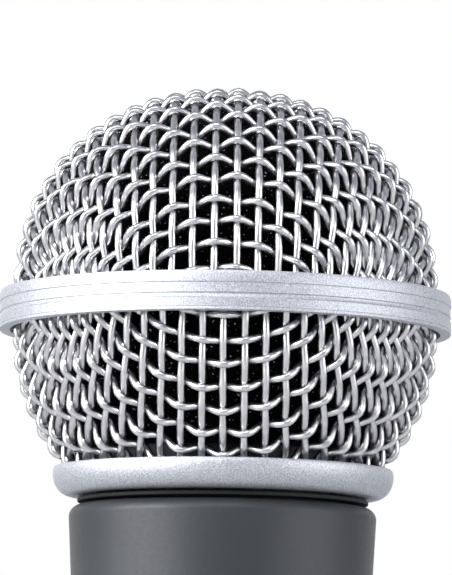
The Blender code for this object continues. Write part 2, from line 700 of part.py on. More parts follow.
# Equator band: two lips with a recess between them, rolled inwards at both edges
recess_radius = BAND_RADIUS - BAND_RECESS_DEPTH
band_outline = [
    (BAND_INNER, BAND_TOP),
    *arc((BAND_RADIUS - BAND_EDGE, BAND_TOP - BAND_EDGE), (BAND_EDGE, BAND_EDGE), 90, 0),
    (BAND_RADIUS, BAND_TOP - BAND_LIP_HEIGHT),
    (recess_radius, BAND_TOP - BAND_LIP_HEIGHT - BAND_RECESS_DEPTH),
    (recess_radius, BAND_BOTTOM + BAND_LIP_HEIGHT + BAND_RECESS_DEPTH),
    (BAND_RADIUS, BAND_BOTTOM + BAND_LIP_HEIGHT),
    *arc((BAND_RADIUS - BAND_EDGE, BAND_BOTTOM + BAND_EDGE), (BAND_EDGE, BAND_EDGE), 0, -90),
    (BAND_INNER, BAND_BOTTOM),
]
turned("equator_band", band_outline, SATIN_SILVER, GRILLE, OUTER_FACETS)

# Inner ring: a thin sleeve behind both rims, with a flange between them
sleeve_outer = RIM_INNER - CLEAR
sleeve_inner = sleeve_outer - INNER_RING_WALL
sleeve_reach = INNER_RING_WALL / 2 + CLEAR + RIM_HEIGHT
inner_ring_outline = [
    (sleeve_outer, BAND_MIDDLE + sleeve_reach),
    (sleeve_outer, BAND_MIDDLE + INNER_RING_WALL / 2),
    (RIM_OUTER, BAND_MIDDLE + INNER_RING_WALL / 2),
    (RIM_OUTER, BAND_MIDDLE - INNER_RING_WALL / 2),
    (sleeve_outer, BAND_MIDDLE - INNER_RING_WALL / 2),
    (sleeve_outer, BAND_MIDDLE - sleeve_reach),
    (sleeve_inner, BAND_MIDDLE - sleeve_reach),
    (sleeve_inner, BAND_MIDDLE + sleeve_reach),
]
turned("band_inner_ring", inner_ring_outline, SOFT_IRON, GRILLE)

# Foam liner: an open cell foam ball behind the wires, open below for the capsule
foam_bottom = CRIMP_RING_TOP + CLEAR
foam_rise = FOAM_RADIUS - BALL_RADIUS + DOME_RISE
foam_inner = FOAM_RADIUS - FOAM_WALL
outer_slant = -math.degrees(math.asin((LOWER_CENTRE - foam_bottom) / FOAM_RADIUS))
inner_slant = -math.degrees(math.acos(COLLAR_BORE / foam_inner))
foam_outline = [
    *arc((0.0, UPPER_CENTRE), (FOAM_RADIUS, foam_rise), 90, 0, 5),
    *arc((0.0, LOWER_CENTRE), (FOAM_RADIUS, FOAM_RADIUS), 0, outer_slant, 3),
    (COLLAR_BORE, foam_bottom),
    *arc((0.0, LOWER_CENTRE), (foam_inner, foam_inner), inner_slant, 0, 3),
    *arc((0.0, UPPER_CENTRE), (foam_inner, foam_rise - FOAM_WALL), 0, 90, 5),
]
turned("foam_liner", foam_outline, BLACK_FOAM, GRILLE)

# Shock mount: a rubber grommet on the neck with a folded skirt that holds the rear chamber
mount_fold = MOUNT_TOP - MOUNT_FLANGE
mount_outline = [
    (NECK_RADIUS - NECK_CHAMFER, MOUNT_TOP),
    (NECK_RADIUS - NECK_CHAMFER, mount_fold),
    (MOUNT_OUTER, mount_fold),
    (MOUNT_OUTER, mount_fold - MOUNT_DEPTH),
    (MOUNT_OUTER - MOUNT_SKIN, mount_fold - MOUNT_DEPTH),
    (MOUNT_OUTER - MOUNT_SKIN, mount_fold - MOUNT_SKIN),
    (MOUNT_INNER + MOUNT_SKIN, mount_fold - MOUNT_SKIN),
    (MOUNT_INNER + MOUNT_SKIN, mount_fold - MOUNT_DEPTH),
    (MOUNT_INNER, mount_fold - MOUNT_DEPTH),
    (MOUNT_INNER, MOUNT_TOP),
]
turned("shock_mount", mount_outline, BLACK_RUBBER, HANDLE)

# Rear chamber and the terminal board that closes it
chamber_inner = CHAMBER_RADIUS - CHAMBER_WALL
chamber_outline = [
    (CHAMBER_RADIUS, CHAMBER_TOP),
    (CHAMBER_RADIUS, CHAMBER_BOTTOM),
    (0.0, CHAMBER_BOTTOM),
    (0.0, CHAMBER_BOTTOM + CHAMBER_WALL),
    (chamber_inner, CHAMBER_BOTTOM + CHAMBER_WALL),
    (chamber_inner, CHAMBER_TOP),
]
turned("rear_chamber", chamber_outline, BLACK_PLASTIC, CAPSULE)
board = flat_outline(
    "terminal_board",
    [circle(TERMINAL_SPACING / 2 + TERMINAL_RADIUS + BOARD_MARGIN),
     circle(TERMINAL_RADIUS + CLEAR, TERMINAL_SPACING / 2, PIN_FACETS),
     circle(TERMINAL_RADIUS + CLEAR, -TERMINAL_SPACING / 2, PIN_FACETS)],
    BOARD_HEIGHT, BOARD_BROWN, CAPSULE)
board.location = (0.0, 0.0, BOARD_BOTTOM + BOARD_HEIGHT / 2)
terminal_outline = disc(TERMINAL_RADIUS, TERMINAL_BOTTOM, BOARD_BOTTOM + BOARD_HEIGHT)
for name, side in (("terminal_hot", 1), ("terminal_return", -1)):
    terminal = turned(name, terminal_outline, GOLD_CONTACT, CAPSULE, PIN_FACETS)
    terminal.location = (side * TERMINAL_SPACING / 2, 0.0, 0.0)

# Capsule housing: a cup with a spigot for the rear chamber, sound slots and a seat for the diaphragm
spigot_radius = chamber_inner - CLEAR
housing_outline = [
    (CLAMP_RADIUS + CLEAR, HOUSING_TOP),
    (HOUSING_RADIUS, HOUSING_TOP),
    (HOUSING_RADIUS, HOUSING_BOTTOM),
    (spigot_radius, HOUSING_BOTTOM),
    (spigot_radius, HOUSING_BOTTOM - SPIGOT_LENGTH),
    (spigot_radius - SPIGOT_WALL, HOUSING_BOTTOM - SPIGOT_LENGTH),
    (spigot_radius - SPIGOT_WALL, HOUSING_BOTTOM + HOUSING_FLOOR),
    (HOUSING_INNER, HOUSING_BOTTOM + HOUSING_FLOOR),
    (HOUSING_INNER, SEAT_TOP),
    (CLAMP_RADIUS + CLEAR, SEAT_TOP),
]
housing = turned("capsule_housing", housing_outline, BLACK_PLASTIC, CAPSULE)


def add_slots(shape):
    """Upright sound slots round the housing wall."""
    for i in range(SLOT_COUNT):
        made = bmesh.ops.create_cube(shape, size=1.0)
        bmesh.ops.scale(shape, verts=made["verts"], vec=(3 * HOUSING_WALL, SLOT_WIDTH, SLOT_HEIGHT))
        bmesh.ops.translate(shape, verts=made["verts"], vec=(HOUSING_RADIUS, 0.0, SLOT_MIDDLE))
        bmesh.ops.rotate(shape, verts=made["verts"], cent=(0, 0, 0),
                         matrix=Matrix.Rotation(math.tau * i / SLOT_COUNT, 3, "Z"))


combine(housing, cutter("sound_slots", add_slots), "DIFFERENCE")
screen_half = SLOT_HEIGHT / 2 + SCREEN_MARGIN
turned("rear_slot_screen",
       ring(HOUSING_RADIUS + CLEAR, HOUSING_RADIUS + CLEAR + SCREEN_WALL,
            SLOT_MIDDLE - screen_half, SLOT_MIDDLE + screen_half),
       GREY_CLOTH, CAPSULE)

# Magnet system: iron yoke cup, magnet, pole piece and top plate, with felt in the hollow between them
yoke_inner = YOKE_RADIUS - YOKE_WALL
yoke_outline = [
    (YOKE_RADIUS, YOKE_TOP),
    (YOKE_RADIUS, YOKE_BOTTOM),
    (0.0, YOKE_BOTTOM),
    (0.0, YOKE_BOTTOM + YOKE_FLOOR),
    (yoke_inner, YOKE_BOTTOM + YOKE_FLOOR),
    (yoke_inner, YOKE_TOP),
]
turned("yoke_cup", yoke_outline, SOFT_IRON, CAPSULE)
turned("magnet", disc(MAGNET_RADIUS, MAGNET_BOTTOM, MAGNET_TOP), MAGNET_GREY, CAPSULE)
turned("pole_piece", ring(POLE_VENT, POLE_RADIUS, POLE_BOTTOM, POLE_TOP), SOFT_IRON, CAPSULE)
turned("top_plate", ring(TOP_PLATE_INNER, YOKE_RADIUS, TOP_PLATE_BOTTOM, POLE_TOP), SOFT_IRON, CAPSULE)
turned("damping_felt",
       ring(MAGNET_RADIUS + CLEAR, yoke_inner - CLEAR, MAGNET_BOTTOM, MAGNET_BOTTOM + MAGNET_HEIGHT / 2),
       GREY_CLOTH, CAPSULE)

# Moving system: domed film diaphragm with a rolled surround, and the voice coil hung under it
coil_middle = (COIL_INNER + COIL_OUTER) / 2
film_rim_inner = CLAMP_RADIUS - DIAPHRAGM_RIM
roll_centre = (coil_middle + film_rim_inner) / 2
roll_half = (film_rim_inner - coil_middle) / 2


def film_side(bottom):
    """Section of one side of the film: dome, glue line over the coil, roll and flat rim."""
    dome = arc((0.0, bottom), (coil_middle, DIAPHRAGM_DOME), 90, 0)
    roll = arc((roll_centre, bottom), (roll_half, DIAPHRAGM_ROLL), 180, 0, 4)
    return [*dome, *roll[1:], (CLAMP_RADIUS, bottom)]


film_top = film_side(RIM_BOTTOM + DIAPHRAGM_THICKNESS)
film_bottom = film_side(RIM_BOTTOM)
turned("diaphragm", [*film_top, *film_bottom[::-1]], CLEAR_FILM, DIAPHRAGM)
turned("voice_coil", ring(COIL_INNER, COIL_OUTER, POLE_TOP - COIL_DEPTH, RIM_BOTTOM - CLEAR),
       COPPER, DIAPHRAGM)

# Front of the capsule: clamp ring over the rim, cloth disc, and the resonator cap with its sound holes
turned("clamp_ring",
       ring(CLAMP_RADIUS - DIAPHRAGM_RIM, CLAMP_RADIUS, CLAMP_BOTTOM, CLAMP_BOTTOM + CLAMP_HEIGHT),
       SOFT_IRON, CAPSULE)
cap_inner = HOUSING_RADIUS - CAP_WALL
cap_outline = [
    *arc((0.0, CAP_SHOULDER), (HOUSING_RADIUS, CAP_CROWN), 90, 0, 4),
    (HOUSING_RADIUS, CAP_BOTTOM),
    (cap_inner, CAP_BOTTOM),
    *arc((0.0, CAP_SHOULDER), (cap_inner, CAP_CROWN - CAP_WALL), 0, 90, 4),
]
cap = turned("resonator_cap", cap_outline, BLACK_PLASTIC, CAPSULE)


def add_cap_holes(shape):
    """One sound hole on the axis and a circle of them round it."""
    places = [(0.0, 0.0)]
    for i in range(CAP_HOLE_COUNT):
        angle = math.tau * i / CAP_HOLE_COUNT
        places.append((CAP_HOLE_CIRCLE * math.cos(angle), CAP_HOLE_CIRCLE * math.sin(angle)))
    for x, y in places:
        add_rod(shape, CAP_HOLE_RADIUS, (x, y, CAP_SHOULDER - CAP_CROWN), (x, y, CAP_TOP + CAP_CROWN))


combine(cap, cutter("cap_holes", add_cap_holes), "DIFFERENCE")
turned("front_cloth", disc(cap_inner - CLEAR, CAP_BOTTOM, CAP_BOTTOM + CLOTH_THICKNESS), GREY_CLOTH, CAPSULE)
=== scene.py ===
import math

import bpy
import numpy as np
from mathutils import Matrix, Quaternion, Vector


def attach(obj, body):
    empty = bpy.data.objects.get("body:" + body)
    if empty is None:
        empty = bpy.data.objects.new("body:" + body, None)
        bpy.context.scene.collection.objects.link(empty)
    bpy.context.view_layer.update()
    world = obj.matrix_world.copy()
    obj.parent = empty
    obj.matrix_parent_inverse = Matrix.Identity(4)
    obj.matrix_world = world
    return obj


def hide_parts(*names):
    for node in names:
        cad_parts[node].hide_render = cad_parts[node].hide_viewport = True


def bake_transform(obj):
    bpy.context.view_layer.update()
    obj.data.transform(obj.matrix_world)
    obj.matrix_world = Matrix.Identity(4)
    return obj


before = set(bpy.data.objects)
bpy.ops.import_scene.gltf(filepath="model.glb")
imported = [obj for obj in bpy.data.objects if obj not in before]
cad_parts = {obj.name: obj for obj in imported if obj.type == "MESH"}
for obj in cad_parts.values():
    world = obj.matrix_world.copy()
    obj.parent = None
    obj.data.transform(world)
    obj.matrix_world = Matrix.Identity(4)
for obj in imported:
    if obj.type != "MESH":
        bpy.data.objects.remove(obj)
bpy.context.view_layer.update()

# Handle: a thin-walled zinc die casting, a plain taper with a rounded shoulder under the grille and a
# rolled edge round the plug socket in its tail. The neck that stands on the shoulder is turned.
MM = 0.001
weld = 0.002 * MM
smooth_below = math.radians(30)


def arc(centre, radii, start, end, count):
    """Points of a round or elliptic arc in a section of (radius, height) in mm, by angles from outward."""
    across, up = radii if isinstance(radii, tuple) else (radii, radii)
    angles = [math.radians(start + (end - start) * i / count) for i in range(count + 1)]
    return [(centre[0] + across * math.cos(a), centre[1] + up * math.sin(a)) for a in angles]


def drawn(name, outline, closed=True):
    """Draw a section in mm point by point, as a new piece left in edit mode."""
    bpy.ops.object.select_all(action="DESELECT")
    outline = [*outline, outline[0]] if closed else list(outline)
    radius, height = outline[0]
    bpy.ops.mesh.primitive_plane_add(size=MM, location=(radius * MM, 0, height * MM), enter_editmode=True)
    piece = bpy.context.object
    piece.name = name
    bpy.ops.mesh.merge(type="CENTER")
    for radius_next, height_next in outline[1:]:
        step = ((radius_next - radius) * MM, 0, (height_next - height) * MM)
        bpy.ops.mesh.extrude_vertices_move(TRANSFORM_OT_translate={"value": step})
        radius, height = radius_next, height_next
    bpy.ops.mesh.select_all(action="SELECT")
    return piece


def turned(name, outline, steps=128, closed=True, smooth=smooth_below):
    """Spin a section in mm about the microphone's axis."""
    piece = drawn(name, outline, closed)
    bpy.ops.mesh.spin(steps=steps, angle=math.tau, center=(0, 0, 0), axis=(0, 0, 1))
    bpy.ops.mesh.select_all(action="SELECT")
    bpy.ops.mesh.remove_doubles(threshold=weld)
    bpy.ops.mesh.normals_make_consistent(inside=False)
    bpy.ops.object.mode_set(mode="OBJECT")
    bpy.ops.object.transform_apply(location=True, rotation=True, scale=True)
    bpy.ops.object.shade_smooth_by_angle(angle=smooth)
    return piece


neck_bore = 12.28
neck_bore_depth = 12.0
neck_radius = 14.08
neck_top = 120.1
neck_edge = 0.5
neck_fillet = 0.3
shoulder_radius = 17.3
shoulder_height = 114.7
shoulder_round = 1.4
wall_lean = 3
tail_radius = 11.5
tail_inset = 0.86
tail_round = 0.9
socket_radius = 8.1
socket_edge = 0.5
insert_top = 22.5
socket_top = insert_top + 0.3
throat = 0.9
handle = turned("handle_casting", [
    (neck_bore, neck_top),
    *arc((neck_radius - neck_edge, neck_top - neck_edge), neck_edge, 90, 0, 4),
    *arc((neck_radius + neck_fillet, shoulder_height + neck_fillet), neck_fillet, 180, 270, 4),
    *arc((shoulder_radius - shoulder_round, shoulder_height - shoulder_round),
         shoulder_round, 90, wall_lean, 10),
    *arc((tail_radius - tail_inset, tail_round), tail_round, wall_lean, -90, 8),
    *arc((socket_radius + socket_edge, socket_edge), socket_edge, -90, -180, 4),
    (socket_radius, socket_top),
    (socket_radius + throat, socket_top + throat),
    (neck_bore, neck_top - neck_bore_depth),
])


def drill(name, radius, start, end, vertices=48):
    """A round drill in mm from one point to another."""
    start = np.array(start, float)
    way = np.array(end, float) - start
    bpy.ops.object.select_all(action="DESELECT")
    bpy.ops.mesh.primitive_cylinder_add(
        vertices=vertices, radius=radius * MM, depth=np.linalg.norm(way) * MM,
        location=(start + way / 2) * MM,
        rotation=(0, math.acos(way[2] / np.linalg.norm(way)), math.atan2(way[1], way[0])))
    bpy.ops.object.transform_apply(location=True, rotation=True, scale=True)
    bpy.context.object.name = name
    return bpy.context.object


def cut_away(piece, tool):
    """Cut a tool out of a piece and throw the tool away."""
    bpy.context.view_layer.objects.active = piece
    boolean = piece.modifiers.new("cut", "BOOLEAN")
    boolean.object = tool
    bpy.ops.object.modifier_apply(modifier="cut")
    bpy.data.objects.remove(tool)


lock_screw_height = 18.5
lock_screw_radius = 1.3
lock_screw_play = 0.06
drill_start = 6.0
drill_end = 20.0
cut_away(handle, drill("lock_screw_hole", lock_screw_radius + lock_screw_play,
                       (0, drill_start, lock_screw_height), (0, drill_end, lock_screw_height)))
bpy.ops.object.shade_smooth_by_angle(angle=smooth_below)

# Neck thread: four turns of 1 mm pitch, cut on the casting's neck for the collar to screw down on. It is
# one flat-topped ridge, sunk a little into the neck and joined to the casting.
thread_start = 115.5
thread_pitch = 1.0
thread_turns = 4
thread_height = 0.22
thread_sink = 0.05
thread_foot = 0.4
thread_crest = 0.1
thread_steps = 96
thread = drawn("neck_thread", [
    (neck_radius - thread_sink, thread_start - thread_foot),
    (neck_radius + thread_height, thread_start - thread_crest),
    (neck_radius + thread_height, thread_start + thread_crest),
    (neck_radius - thread_sink, thread_start + thread_foot),
])
bpy.ops.mesh.remove_doubles(threshold=weld)
bpy.ops.object.mode_set(mode="OBJECT")
bpy.ops.object.transform_apply(location=True, rotation=True, scale=True)
screw = thread.modifiers.new("thread", "SCREW")
screw.screw_offset = thread_pitch * MM
screw.iterations = thread_turns
screw.steps = thread_steps
screw.render_steps = thread_steps
bpy.ops.object.modifier_apply(modifier="thread")
bpy.ops.object.mode_set(mode="EDIT")
bpy.ops.mesh.select_all(action="SELECT")
bpy.ops.mesh.fill_holes(sides=4)
bpy.ops.mesh.normals_make_consistent(inside=False)
bpy.ops.object.mode_set(mode="OBJECT")
bpy.ops.object.shade_smooth_by_angle(angle=smooth_below)
handle.select_set(True)
bpy.context.view_layer.objects.active = handle
bpy.ops.object.join()


def linear(code, alpha=1.0):
    """An sRGB hex colour as linear values."""
    parts = [int(code[i:i + 2], 16) / 255 for i in (0, 2, 4)]
    return (*[p / 12.92 if p <= 0.04045 else ((p + 0.055) / 1.055) ** 2.4 for p in parts], alpha)


def add_node(tree, kind, values, links=(), into=None):
    """Add a node: values set it or its sockets, links are (output, socket), into takes its first output."""
    made = tree.nodes.new(kind)
    for key, value in values.items():
        if isinstance(key, int) or key in made.inputs:
            made.inputs[key].default_value = value
        else:
            setattr(made, key, value)
    for source, key in links:
        tree.links.new(source, made.inputs[key])
    if into:
        tree.links.new(made.outputs[0], into)
    return made


def new_finish(name, code, roughness, metallic=0.0):
    """A new material: its node tree, its shader's sockets and the coordinates of the piece it goes on."""
    material = bpy.data.materials.new(name)
    material.use_nodes = True
    tree = material.node_tree
    sockets = tree.nodes["Principled BSDF"].inputs
    sockets["Base Color"].default_value = linear(code)
    sockets["Roughness"].default_value = roughness
    sockets["Metallic"].default_value = metallic
    return material, tree, sockets, add_node(tree, "ShaderNodeTexCoord", {}).outputs["Object"]


# Baked enamel over a blasted casting: dark grey and satin, with the fine pebble that the spray leaves and a
# slow drift of shade along the handle.
enamel, tree, sockets, place = new_finish("baked_grey_enamel", "34373B", 0.46)
pebble = add_node(tree, "ShaderNodeTexNoise", {"Scale": 1 / (0.45 * MM), "Detail": 3.0},
                  [(place, "Vector")])
drift = add_node(tree, "ShaderNodeTexNoise", {"Scale": 1 / (9 * MM), "Detail": 2.0}, [(place, "Vector")])
tint = add_node(tree, "ShaderNodeValToRGB", {}, [(drift.outputs["Fac"], "Fac")], sockets["Base Color"])
tint.color_ramp.elements[0].color = linear("2E3134")
tint.color_ramp.elements[1].color = linear("3A3D42")
add_node(tree, "ShaderNodeMapRange", {"To Min": 0.36, "To Max": 0.56},
         [(pebble.outputs["Fac"], "Value")], sockets["Roughness"])
add_node(tree, "ShaderNodeBump", {"Strength": 0.35, "Distance": 0.03 * MM},
         [(pebble.outputs["Fac"], "Height")], sockets["Normal"])
handle.data.materials.append(enamel)
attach(handle, "handle")
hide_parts("handle_shell")

# Connector insert: a moulded block of glass-filled plastic, pushed into the tail from inside. It carries
# three plated pins, and a slotted screw through the casting locks it.
insert_radius = 7.8
insert_face = 14.5
insert_edge = 0.4
pin_radius = 1.2
pin_play = 0.04
drill_overrun = 4
pin_places = [(-3.89, 2.72), (3.89, 2.72), (0.0, -4.75)]
insert = turned("connector_block", [
    (0, insert_face),
    *arc((insert_radius - insert_edge, insert_face + insert_edge), insert_edge, -90, 0, 4),
    *arc((insert_radius - insert_edge, insert_top - insert_edge), insert_edge, 0, 90, 4),
    (0, insert_top),
], closed=False, steps=96)
for x, y in pin_places:
    cut_away(insert, drill("pin_hole", pin_radius + pin_play,
                           (x, y, insert_face - drill_overrun), (x, y, insert_top + drill_overrun)))
bpy.ops.object.shade_smooth_by_angle(angle=smooth_below)

# Moulded plastic: black and half dull, with a faint sparkle where the glass fibres come up through the skin
# of the moulding.
moulded, tree, sockets, place = new_finish("moulded_black", "1C1D1F", 0.5)
spark = add_node(tree, "ShaderNodeTexNoise", {"Scale": 1 / (0.3 * MM), "Detail": 3.0}, [(place, "Vector")])
add_node(tree, "ShaderNodeMapRange", {"To Min": 0.4, "To Max": 0.62},
         [(spark.outputs["Fac"], "Value")], sockets["Roughness"])
add_node(tree, "ShaderNodeBump", {"Strength": 0.3, "Distance": 0.02 * MM},
         [(spark.outputs["Fac"], "Height")], sockets["Normal"])
insert.data.materials.append(moulded)
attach(insert, "handle")
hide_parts("connector_insert")

# Contact pins: turned brass, gold plated and pressed through the block, with a round tip below and a cup
# above for the soldered lead. The plating is a warm yellow, brighter and duller in smears.
pin_end = 2.0
pin_tip = 0.6
pin_top = 26.0
cup_radius = 0.8
cup_floor = 22.5
gold, tree, sockets, place = new_finish("gold_plate", "D2B069", 0.28, 1.0)
smear = add_node(tree, "ShaderNodeTexNoise", {"Scale": 1 / (1.5 * MM), "Detail": 4.0}, [(place, "Vector")])
add_node(tree, "ShaderNodeMapRange", {"To Min": 0.18, "To Max": 0.4},
         [(smear.outputs["Fac"], "Value")], sockets["Roughness"])
for number, (x, y) in enumerate(pin_places, start=1):
    pin = turned(f"plug_pin_{number}", [
        (0, cup_floor),
        (cup_radius, cup_floor),
        (cup_radius, pin_top),
        (pin_radius, pin_top),
        *arc((pin_radius - pin_tip, pin_end + pin_tip), pin_tip, 0, -90, 6),
    ], closed=False, steps=32)
    bpy.ops.transform.translate(value=(x * MM, y * MM, 0))
    bpy.ops.object.transform_apply(location=True, rotation=True, scale=True)
    pin.data.materials.append(gold)
    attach(pin, "handle")
    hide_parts(f"contact_pin_{number}")

# Lock screw: a plain steel grub screw with a sawn slot, screwed in just below the enamel at the back of the
# tail. The bare steel is grey, brighter and duller along its turning marks.
screw_end = 11.83
screw_bevel = 0.15
slot_length = 3.0
slot_depth = 0.6
slot_width = 0.45
lock_screw = drill("lock_grub_screw", lock_screw_radius,
                   (0, socket_radius, lock_screw_height), (0, screw_end, lock_screw_height))
edge = lock_screw.modifiers.new("edge", "BEVEL")
edge.width = screw_bevel * MM
bpy.ops.object.modifier_apply(modifier="edge")
bpy.ops.object.select_all(action="DESELECT")
bpy.ops.mesh.primitive_cube_add(
    size=1, location=(0, screw_end * MM, lock_screw_height * MM),
    scale=(slot_length * MM, 2 * slot_depth * MM, slot_width * MM))
cut_away(lock_screw, bpy.context.object)
bpy.ops.object.shade_smooth_by_angle(angle=smooth_below)
bare_steel, tree, sockets, place = new_finish("bare_steel", "96999E", 0.36, 1.0)
lines = add_node(tree, "ShaderNodeTexNoise", {"Scale": 1 / (0.4 * MM), "Detail": 4.0}, [(place, "Vector")])
add_node(tree, "ShaderNodeMapRange", {"To Min": 0.26, "To Max": 0.5},
         [(lines.outputs["Fac"], "Value")], sockets["Roughness"])
lock_screw.data.materials.append(bare_steel)
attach(lock_screw, "handle")
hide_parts("connector_lock_screw")

# Shock mount: a moulded rubber grommet. Its flange sits on the neck with a lip round the capsule, and its
# skirt folds back so that the capsule hangs in soft rubber and can sink between the lips.
mount_outer = 11.98
mount_inner = 9.38
mount_skin = 0.7
mount_bottom = 113.4
mount_top = 121.6
mount_edge = 0.2
seat_height = 120.95
seat_radius = 12.65
flange_radius = neck_radius - 0.5
flange_edge = 0.3
flange_bottom = mount_top - 1.2
fold_height = mount_top - 2.5
fold_radius = (mount_outer - mount_inner) / 2 - mount_skin
fold_middle = (mount_outer + mount_inner) / 2
lip = mount_skin / 2
mount = turned("folded_grommet", [
    *arc((mount_inner + mount_edge, seat_height - mount_edge), mount_edge, 180, 90, 4),
    *arc((seat_radius - mount_edge, seat_height + mount_edge), mount_edge, -90, 0, 4),
    *arc((seat_radius + mount_edge, mount_top - mount_edge), mount_edge, 180, 90, 4),
    *arc((flange_radius - flange_edge, mount_top - flange_edge), flange_edge, 90, 0, 4),
    *arc((flange_radius - flange_edge, flange_bottom + flange_edge), flange_edge, 0, -90, 4),
    (mount_outer, flange_bottom),
    *arc((mount_outer - lip, mount_bottom + lip), lip, 0, -180, 8),
    *arc((fold_middle, fold_height), fold_radius, 0, 180, 10),
    *arc((mount_inner + lip, mount_bottom + lip), lip, 0, -180, 8),
])

# Moulded rubber: black and dull, with the cloudy bloom that rubber gets with age and the fine skin that the
# mould leaves.
rubber, tree, sockets, place = new_finish("moulded_rubber", "18181A", 0.68)
bloom = add_node(tree, "ShaderNodeTexNoise", {"Scale": 1 / (2.5 * MM), "Detail": 5.0}, [(place, "Vector")])
tint = add_node(tree, "ShaderNodeValToRGB", {}, [(bloom.outputs["Fac"], "Fac")], sockets["Base Color"])
tint.color_ramp.elements[0].color = linear("121213")
tint.color_ramp.elements[1].color = linear("222224")
skin = add_node(tree, "ShaderNodeTexNoise", {"Scale": 1 / (0.25 * MM), "Detail": 2.0}, [(place, "Vector")])
add_node(tree, "ShaderNodeBump", {"Strength": 0.3, "Distance": 0.02 * MM},
         [(skin.outputs["Fac"], "Height")], sockets["Normal"])
mount.data.materials.append(rubber)
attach(mount, "handle")
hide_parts("shock_mount")

# Collar washer: a flat ring cut from the same rubber. It lies loose on the handle's shoulder, so that the
# collar binds when it is screwed home.
collar_bore = 14.38


def ring_section(inner, outer, bottom, top, edge, count):
    """Outline of a ring's section in mm, with its four edges rounded."""
    return [*arc((inner + edge, bottom + edge), edge, -180, -90, count),
            *arc((outer - edge, bottom + edge), edge, -90, 0, count),
            *arc((outer - edge, top - edge), edge, 0, 90, count),
            *arc((inner + edge, top - edge), edge, 90, 180, count)]


washer = turned("rubber_washer", ring_section(
    inner=collar_bore, outer=16.38, bottom=115.0, top=115.45, edge=0.12, count=3))
washer.data.materials.append(rubber)
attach(washer, "washer")
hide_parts("collar_washer")

# Equator band: brass strip rolled into a hoop round the rims of the two woven halves, with crisp edges. A
# shallow recess runs round it and ends in a narrow groove above the lower lip.
band_outer = 25.5
band_inner = 24.3
band_top = 138.65
band_bottom = 134.3
inner_round = 0.25
top_round = 0.1
top_inset = 0.22
top_slope_end = band_top - 0.45
recess = 0.1
recess_top = 137.3
groove_top = 136.25
groove_bottom = 136.07
lip_top = 135.65
foot_top = 134.72
foot_inset = 0.06
foot_round = 0.12
band = turned("equator_band_rolled", [
    *arc((band_inner + inner_round, band_top - inner_round), inner_round, 180, 90, 4),
    *arc((band_outer - top_inset, band_top - top_round), top_round, 90, 18, 4),
    (band_outer, top_slope_end),
    (band_outer, recess_top + recess),
    (band_outer - recess, recess_top),
    (band_outer - recess / 2, groove_top),
    (band_outer - 2 * recess, groove_top - recess),
    (band_outer - 2 * recess, groove_bottom),
    (band_outer - recess, lip_top + recess),
    (band_outer, lip_top),
    (band_outer, foot_top),
    (band_outer - foot_inset, foot_top - foot_inset),
    *arc((band_outer - foot_round, band_bottom + foot_round), foot_round, 15, -90, 6),
    (band_inner, band_bottom),
], steps=256)

# Blasted nickel: bright but matt, with the sparkle of fine shot marks. Real marks are about 0.05 mm and
# are drawn at 0.13 mm so that they show.
blasted, tree, sockets, place = new_finish("blasted_nickel", "D9DCE1", 0.40, 1.0)
marks = add_node(tree, "ShaderNodeTexNoise", {"Scale": 1 / (0.13 * MM), "Detail": 2.0}, [(place, "Vector")])
tint = add_node(tree, "ShaderNodeValToRGB", {}, [(marks.outputs["Fac"], "Fac")], sockets["Base Color"])
tint.color_ramp.elements[0].position = 0.34
tint.color_ramp.elements[0].color = linear("B4B8C1")
tint.color_ramp.elements[1].position = 0.66
tint.color_ramp.elements[1].color = linear("ECEEF3")
add_node(tree, "ShaderNodeMapRange", {"To Min": 0.46, "To Max": 0.66},
         [(marks.outputs["Fac"], "Value")], sockets["Roughness"])
add_node(tree, "ShaderNodeBump", {"Strength": 0.30, "Distance": 0.03 * MM},
         [(marks.outputs["Fac"], "Height")], sockets["Normal"])
band.data.materials.append(blasted)
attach(band, "grille")
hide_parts("equator_band")

# Base collar: a turned brass ring with a rounded bead, plated and blasted like the band. A groove in its
# top takes the lower wires, which a lip on the outside and the crimp ring on the inside hold.
collar_bottom = 115.75
collar_top = 118.95
collar_outer = 19.2
lip_inner = 18.65
lip_inside_top = collar_top - 0.1
lip_round = 0.12
groove_floor = 117.9
crown_width = 0.3
crown_height = 0.7
bead_width = 1.9
bead_height = collar_top - crown_height
bore_bevel = 0.3
collar = turned("collar_bead", [
    (lip_inner, lip_inside_top),
    *arc((lip_inner + lip_round, collar_top - lip_round), lip_round, 180, 90, 3),
    *arc((collar_outer - crown_width, bead_height), (crown_width, crown_height), 80, 0, 8),
    *arc((collar_outer - bead_width, bead_height), (bead_width, bead_height - collar_bottom), 0, -90, 18),
    (collar_bore + bore_bevel, collar_bottom),
    (collar_bore, collar_bottom + bore_bevel),
    (collar_bore, groove_floor),
    (lip_inner, groove_floor),
], steps=192)
collar.data.materials.append(blasted)
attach(collar, "grille")
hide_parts("grille_collar")

# Crimp ring: a hoop of blackened steel strip, pressed in behind the wire ends to hold them in the collar.
# It is seen only dimly through the cloth, dark with duller patches of scale.
crimp_outer = 15.0
crimp_bottom = 118.2
crimp_top = 120.8
crimp_round = 0.12
crimp_ring = turned("crimp_hoop", [
    (collar_bore, crimp_bottom),
    (crimp_outer, crimp_bottom),
    *arc((crimp_outer - crimp_round, crimp_top - crimp_round), crimp_round, 0, 90, 3),
    *arc((collar_bore + crimp_round, crimp_top - crimp_round), crimp_round, 90, 180, 3),
], steps=96)
blackened, tree, sockets, place = new_finish("blackened_steel", "3A3B3E", 0.45, 1.0)
scale = add_node(tree, "ShaderNodeTexNoise", {"Scale": 1 / (0.8 * MM), "Detail": 4.0}, [(place, "Vector")])
add_node(tree, "ShaderNodeMapRange", {"To Min": 0.35, "To Max": 0.6},
         [(scale.outputs["Fac"], "Value")], sockets["Roughness"])
crimp_ring.data.materials.append(blackened)
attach(crimp_ring, "grille")
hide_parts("crimp_ring")

